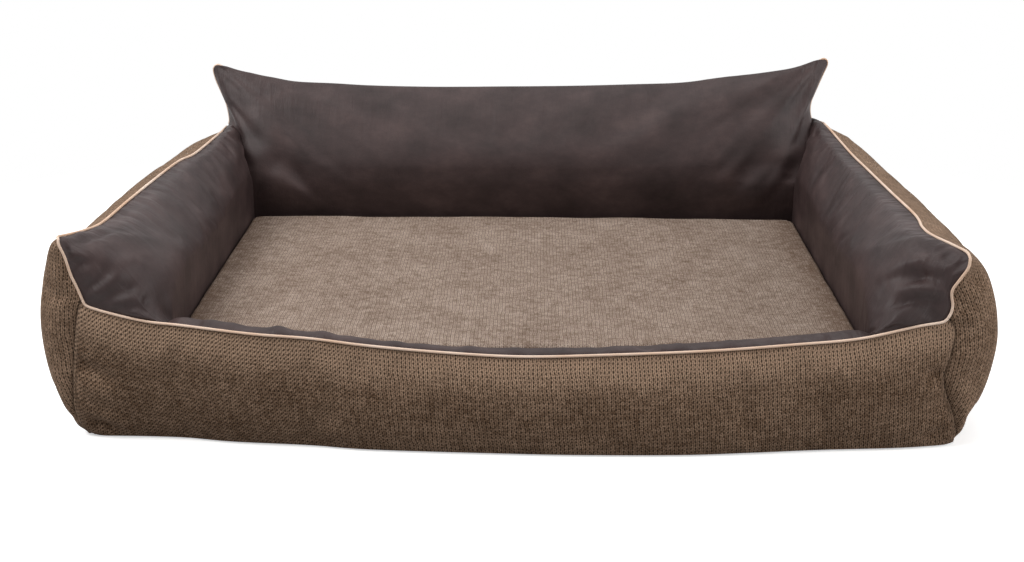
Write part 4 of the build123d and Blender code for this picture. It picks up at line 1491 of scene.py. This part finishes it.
def make_bottom():
    """The sheet under the bed, cut to the foot of the covers and laid on the floor."""
    # Its underside and upper face, and the shares of its outline that their rings go through
    underside, upper = 0.4, 2.9
    shares = np.linspace(0.02, 0.995, 16)
    front = smooth_line(FRONT_FOOT, 90)[:, :2]
    right = [(541, -339), (541, -179), (536.5, 39), (523, 185), (500.5, 330)]
    rear = [(491, 385), (483, 415), (462, 437), (431, 446)]
    run = smooth_line(right + rear, 90)
    edge = np.vstack([front, run, run[::-1] * np.array([-1, 1])])
    rings = []
    for height, ring_shares in ((underside, shares), (upper, shares[::-1])):
        for share in ring_shares:
            rings.append(np.column_stack([edge * share, np.full(len(edge), height)]))
    grid = np.array(rings)
    grid = np.concatenate([grid, grid[:, :1]], axis=1)
    piece = surface_mesh("bottom_cloth", grid, grid * [1, 1, 0], material_of("lining_cloth"), ring=True)
    face_outwards(piece, (0, 0, (underside + upper) / 2))
    finish_piece(piece, "bed", ["bottom_sheet"])


def finish_nodes(table):
    """Give nodes that are carried over from the frame their materials."""
    for name, material in table.items():
        for place in bpy.data.objects[name].material_slots:
            place.material = material_of(material)


# Stage

# The camera of the photograph: its place, and its turn, tilt and roll in degrees
CAMERA_PLACE = (18.72, -2494.1, 789.84)
CAMERA_TURN = (-0.73, 15.58, -0.25)
IMAGE_WIDTH = 1024
FOCAL_PIXELS = 1800
SENSOR_WIDTH = 36
# Softboxes: name, place in metres, width in metres and watts, all turned to the bed's middle
LAMP_TARGET = (0, 0, 0.1)
LAMPS = (
    ("key_softbox", (-2.2, -0.9, 2.5), 1.8, 78),
    ("fill_softbox", (3.0, -1.0, 1.1), 2.2, 56),
    ("top_softbox", (0.3, 0.3, 3.3), 2.6, 44),
)


def make_camera():
    """The camera that the photograph was taken with, as fitted to the bed's corners."""
    yaw, pitch, roll = (math.radians(a) for a in CAMERA_TURN)
    forward = Vector((math.sin(yaw) * math.cos(pitch), math.cos(yaw) * math.cos(pitch), -math.sin(pitch)))
    level = Vector((math.cos(yaw), -math.sin(yaw), 0))
    below = forward.cross(level)
    right = level * math.cos(roll) + below * math.sin(roll)
    down = below * math.cos(roll) - level * math.sin(roll)
    data = bpy.data.cameras.new("studio_camera")
    data.lens = FOCAL_PIXELS / IMAGE_WIDTH * SENSOR_WIDTH
    data.clip_start = 0.05
    camera = bpy.data.objects.new("studio_camera", data)
    turn = Matrix((right, -down, -forward)).transposed().to_4x4()
    camera.matrix_world = Matrix.Translation(Vector(CAMERA_PLACE) * MM) @ turn
    bpy.context.scene.collection.objects.link(camera)
    bpy.context.scene.camera = camera


def seen_rays(tree):
    """1 for rays that show the background: from the camera, off a gloss, or through glass."""
    rays = add_node(tree, "ShaderNodeLightPath").outputs
    seen = rays["Is Camera Ray"]
    for kind in ("Is Glossy Ray", "Is Transmission Ray"):
        seen = add_node(tree, "ShaderNodeMath", {0: seen, 1: rays[kind]}, operation="MAXIMUM").outputs[0]
    return seen


def make_floor():
    """White paper that keeps the bed's shadow, and fades into the white world behind."""
    material, tree, shader = new_material(
        "floor_paper_white", Roughness=1.0, Specular_IOR_Level=0.0, Emission_Color=(1, 1, 1, 1)
    )
    # Grey for the light that it throws back at the bed, and white for the eye
    grey, white = (0.35, 0.35, 0.35, 1), (1, 1, 1, 1)
    fade_start, fade_end = 0.9, 1.5
    floor_size, floor_below = 30, 0.0005
    seen = seen_rays(tree)
    tone = add_node(tree, "ShaderNodeMix", {0: seen, 6: grey, 7: white}, data_type="RGBA")
    glow = add_node(tree, "ShaderNodeMath", {0: seen, 1: 0.5}, operation="MULTIPLY")
    link_all(tree, shader, {"Base Color": tone.outputs[2], "Emission Strength": glow.outputs[0]})
    place = add_node(tree, "ShaderNodeTexCoord").outputs["Object"]
    away = add_node(tree, "ShaderNodeVectorMath", {0: place}, operation="LENGTH")
    fade = add_node(
        tree, "ShaderNodeMapRange",
        {"Value": away.outputs["Value"], "From Min": fade_start, "From Max": fade_end},
        interpolation_type="SMOOTHSTEP",
    )
    fade = add_node(tree, "ShaderNodeMath", {0: fade.outputs[0], 1: seen}, operation="MULTIPLY")
    clear = add_node(tree, "ShaderNodeBsdfTransparent")
    mixed = add_node(
        tree, "ShaderNodeMixShader", {0: fade.outputs[0], 1: shader.outputs[0], 2: clear.outputs[0]}
    )
    tree.links.new(mixed.outputs[0], tree.nodes["Material Output"].inputs["Surface"])
    bpy.ops.mesh.primitive_grid_add(x_subdivisions=4, y_subdivisions=4, size=floor_size)
    floor = bpy.context.active_object
    floor.name = "studio_floor"
    floor.location.z = -floor_below
    floor.data.materials.append(material)


def make_world():
    """Even studio light, seen as plain white."""
    world = bpy.data.worlds.new("studio_world")
    bpy.context.scene.world = world
    world.use_nodes = True
    tree = world.node_tree
    tree.nodes.clear()
    power = add_node(tree, "ShaderNodeMapRange", {"Value": seen_rays(tree), "To Min": 0.3, "To Max": 1.0})
    back = add_node(tree, "ShaderNodeBackground", {"Color": (1, 1, 1, 1), "Strength": power.outputs[0]})
    add_node(tree, "ShaderNodeOutputWorld", {"Surface": back.outputs[0]})


def make_lamps():
    """Large softboxes, which leave broad highlights and soft shadows."""
    for name, place, size, watts in LAMPS:
        light = bpy.data.lights.new(name, "AREA")
        light.size = size
        light.energy = watts
        lamp = bpy.data.objects.new(name, light)
        lamp.location = place
        beam = Vector(LAMP_TARGET) - Vector(place)
        lamp.rotation_euler = beam.to_track_quat("-Z", "Y").to_euler()
        bpy.context.scene.collection.objects.link(lamp)


# Operators and panel


class DOGBED_OT_stage(Operator):
    """Set up the camera, floor, world and lamps"""

    bl_idname = "dogbed.stage"
    bl_label = "Stage"

    def execute(self, context):
        make_camera()
        make_floor()
        make_world()
        make_lamps()
        context.scene.view_settings.view_transform = "Standard"
        return {"FINISHED"}


class DOGBED_OT_arms(Operator):
    """Make the covers and piping of the left and right arm"""

    bl_idname = "dogbed.arms"
    bl_label = "Arms"

    def execute(self, context):
        for side in (-1, 1):
            make_arm(side)
        return {"FINISHED"}


class DOGBED_OT_front(Operator):
    """Make the cloth, leather strip and piping of the front wall"""

    bl_idname = "dogbed.front"
    bl_label = "Front Wall"

    def execute(self, context):
        make_front()
        return {"FINISHED"}


class DOGBED_OT_back(Operator):
    """Make the covers and piping of the back cushion"""

    bl_idname = "dogbed.back"
    bl_label = "Back Cushion"

    def execute(self, context):
        make_back()
        return {"FINISHED"}


class DOGBED_OT_fillings(Operator):
    """Fill the arms, the front wall and the back, once their covers are made"""

    bl_idname = "dogbed.fillings"
    bl_label = "Fillings"

    def execute(self, context):
        if not SHAPES:
            raise RuntimeError("Make the covers before their fillings")
        make_fillings()
        return {"FINISHED"}


class DOGBED_OT_mattress(Operator):
    """Make the mattress's covers, and finish its liner and foams"""

    bl_idname = "dogbed.mattress"
    bl_label = "Mattress"

    def execute(self, context):
        make_mattress()
        finish_nodes(
            {"mattress_liner": "liner_film", "memory_foam": "memory_foam", "support_foam": "support_foam"}
        )
        return {"FINISHED"}


class DOGBED_OT_zips(Operator):
    """Finish the tapes, coils, stops, sliders and pulls of both zips"""

    bl_idname = "dogbed.zips"
    bl_label = "Zips"

    def execute(self, context):
        for zipper in ("back_zip", "mattress_zip"):
            table = {f"{zipper}_tapes": "zip_tape", f"{zipper}_coils": "zip_coil"}
            table.update({f"{zipper}_{part}": "zip_metal" for part in ("stops", "slider", "pull")})
            finish_nodes(table)
        return {"FINISHED"}


class DOGBED_OT_bottom(Operator):
    """Make the sheet under the bed"""

    bl_idname = "dogbed.bottom"
    bl_label = "Bottom Sheet"

    def execute(self, context):
        make_bottom()
        return {"FINISHED"}


OPERATORS = (
    DOGBED_OT_stage, DOGBED_OT_arms, DOGBED_OT_front, DOGBED_OT_back, DOGBED_OT_fillings, DOGBED_OT_mattress,
    DOGBED_OT_zips, DOGBED_OT_bottom,
)


class DOGBED_PT_panel(Panel):
    """Sizes, colours and pieces of the dog bed"""

    bl_idname = "DOGBED_PT_panel"
    bl_label = "Dog Bed"
    bl_space_type = "VIEW_3D"
    bl_region_type = "UI"
    bl_category = "Dog Bed"

    def draw(self, context):
        for group in (context.scene.dog_bed_sizes, context.scene.dog_bed_colours):
            column = self.layout.column(align=True)
            for name in type(group).__annotations__:
                column.prop(group, name)
        column = self.layout.column(align=True)
        for operator in OPERATORS:
            column.operator(operator.bl_idname)


CLASSES = (DogBedSizes, DogBedColours, *OPERATORS, DOGBED_PT_panel)


def register():
    """Add the bed's sizes, colours, operators and panel to Blender."""
    for kind in CLASSES:
        bpy.utils.register_class(kind)
    bpy.types.Scene.dog_bed_sizes = PointerProperty(type=DogBedSizes)
    bpy.types.Scene.dog_bed_colours = PointerProperty(type=DogBedColours)


def unregister():
    """Take them out again."""
    del bpy.types.Scene.dog_bed_colours
    del bpy.types.Scene.dog_bed_sizes
    for kind in reversed(CLASSES):
        bpy.utils.unregister_class(kind)


def main():
    """Make the stage and the bed."""
    register()
    bpy.ops.dogbed.stage()
    bpy.ops.dogbed.arms()
    bpy.ops.dogbed.front()
    bpy.ops.dogbed.back()
    bpy.ops.dogbed.fillings()
    bpy.ops.dogbed.mattress()
    bpy.ops.dogbed.zips()
    bpy.ops.dogbed.bottom()


if __name__ == "__main__":
    main()
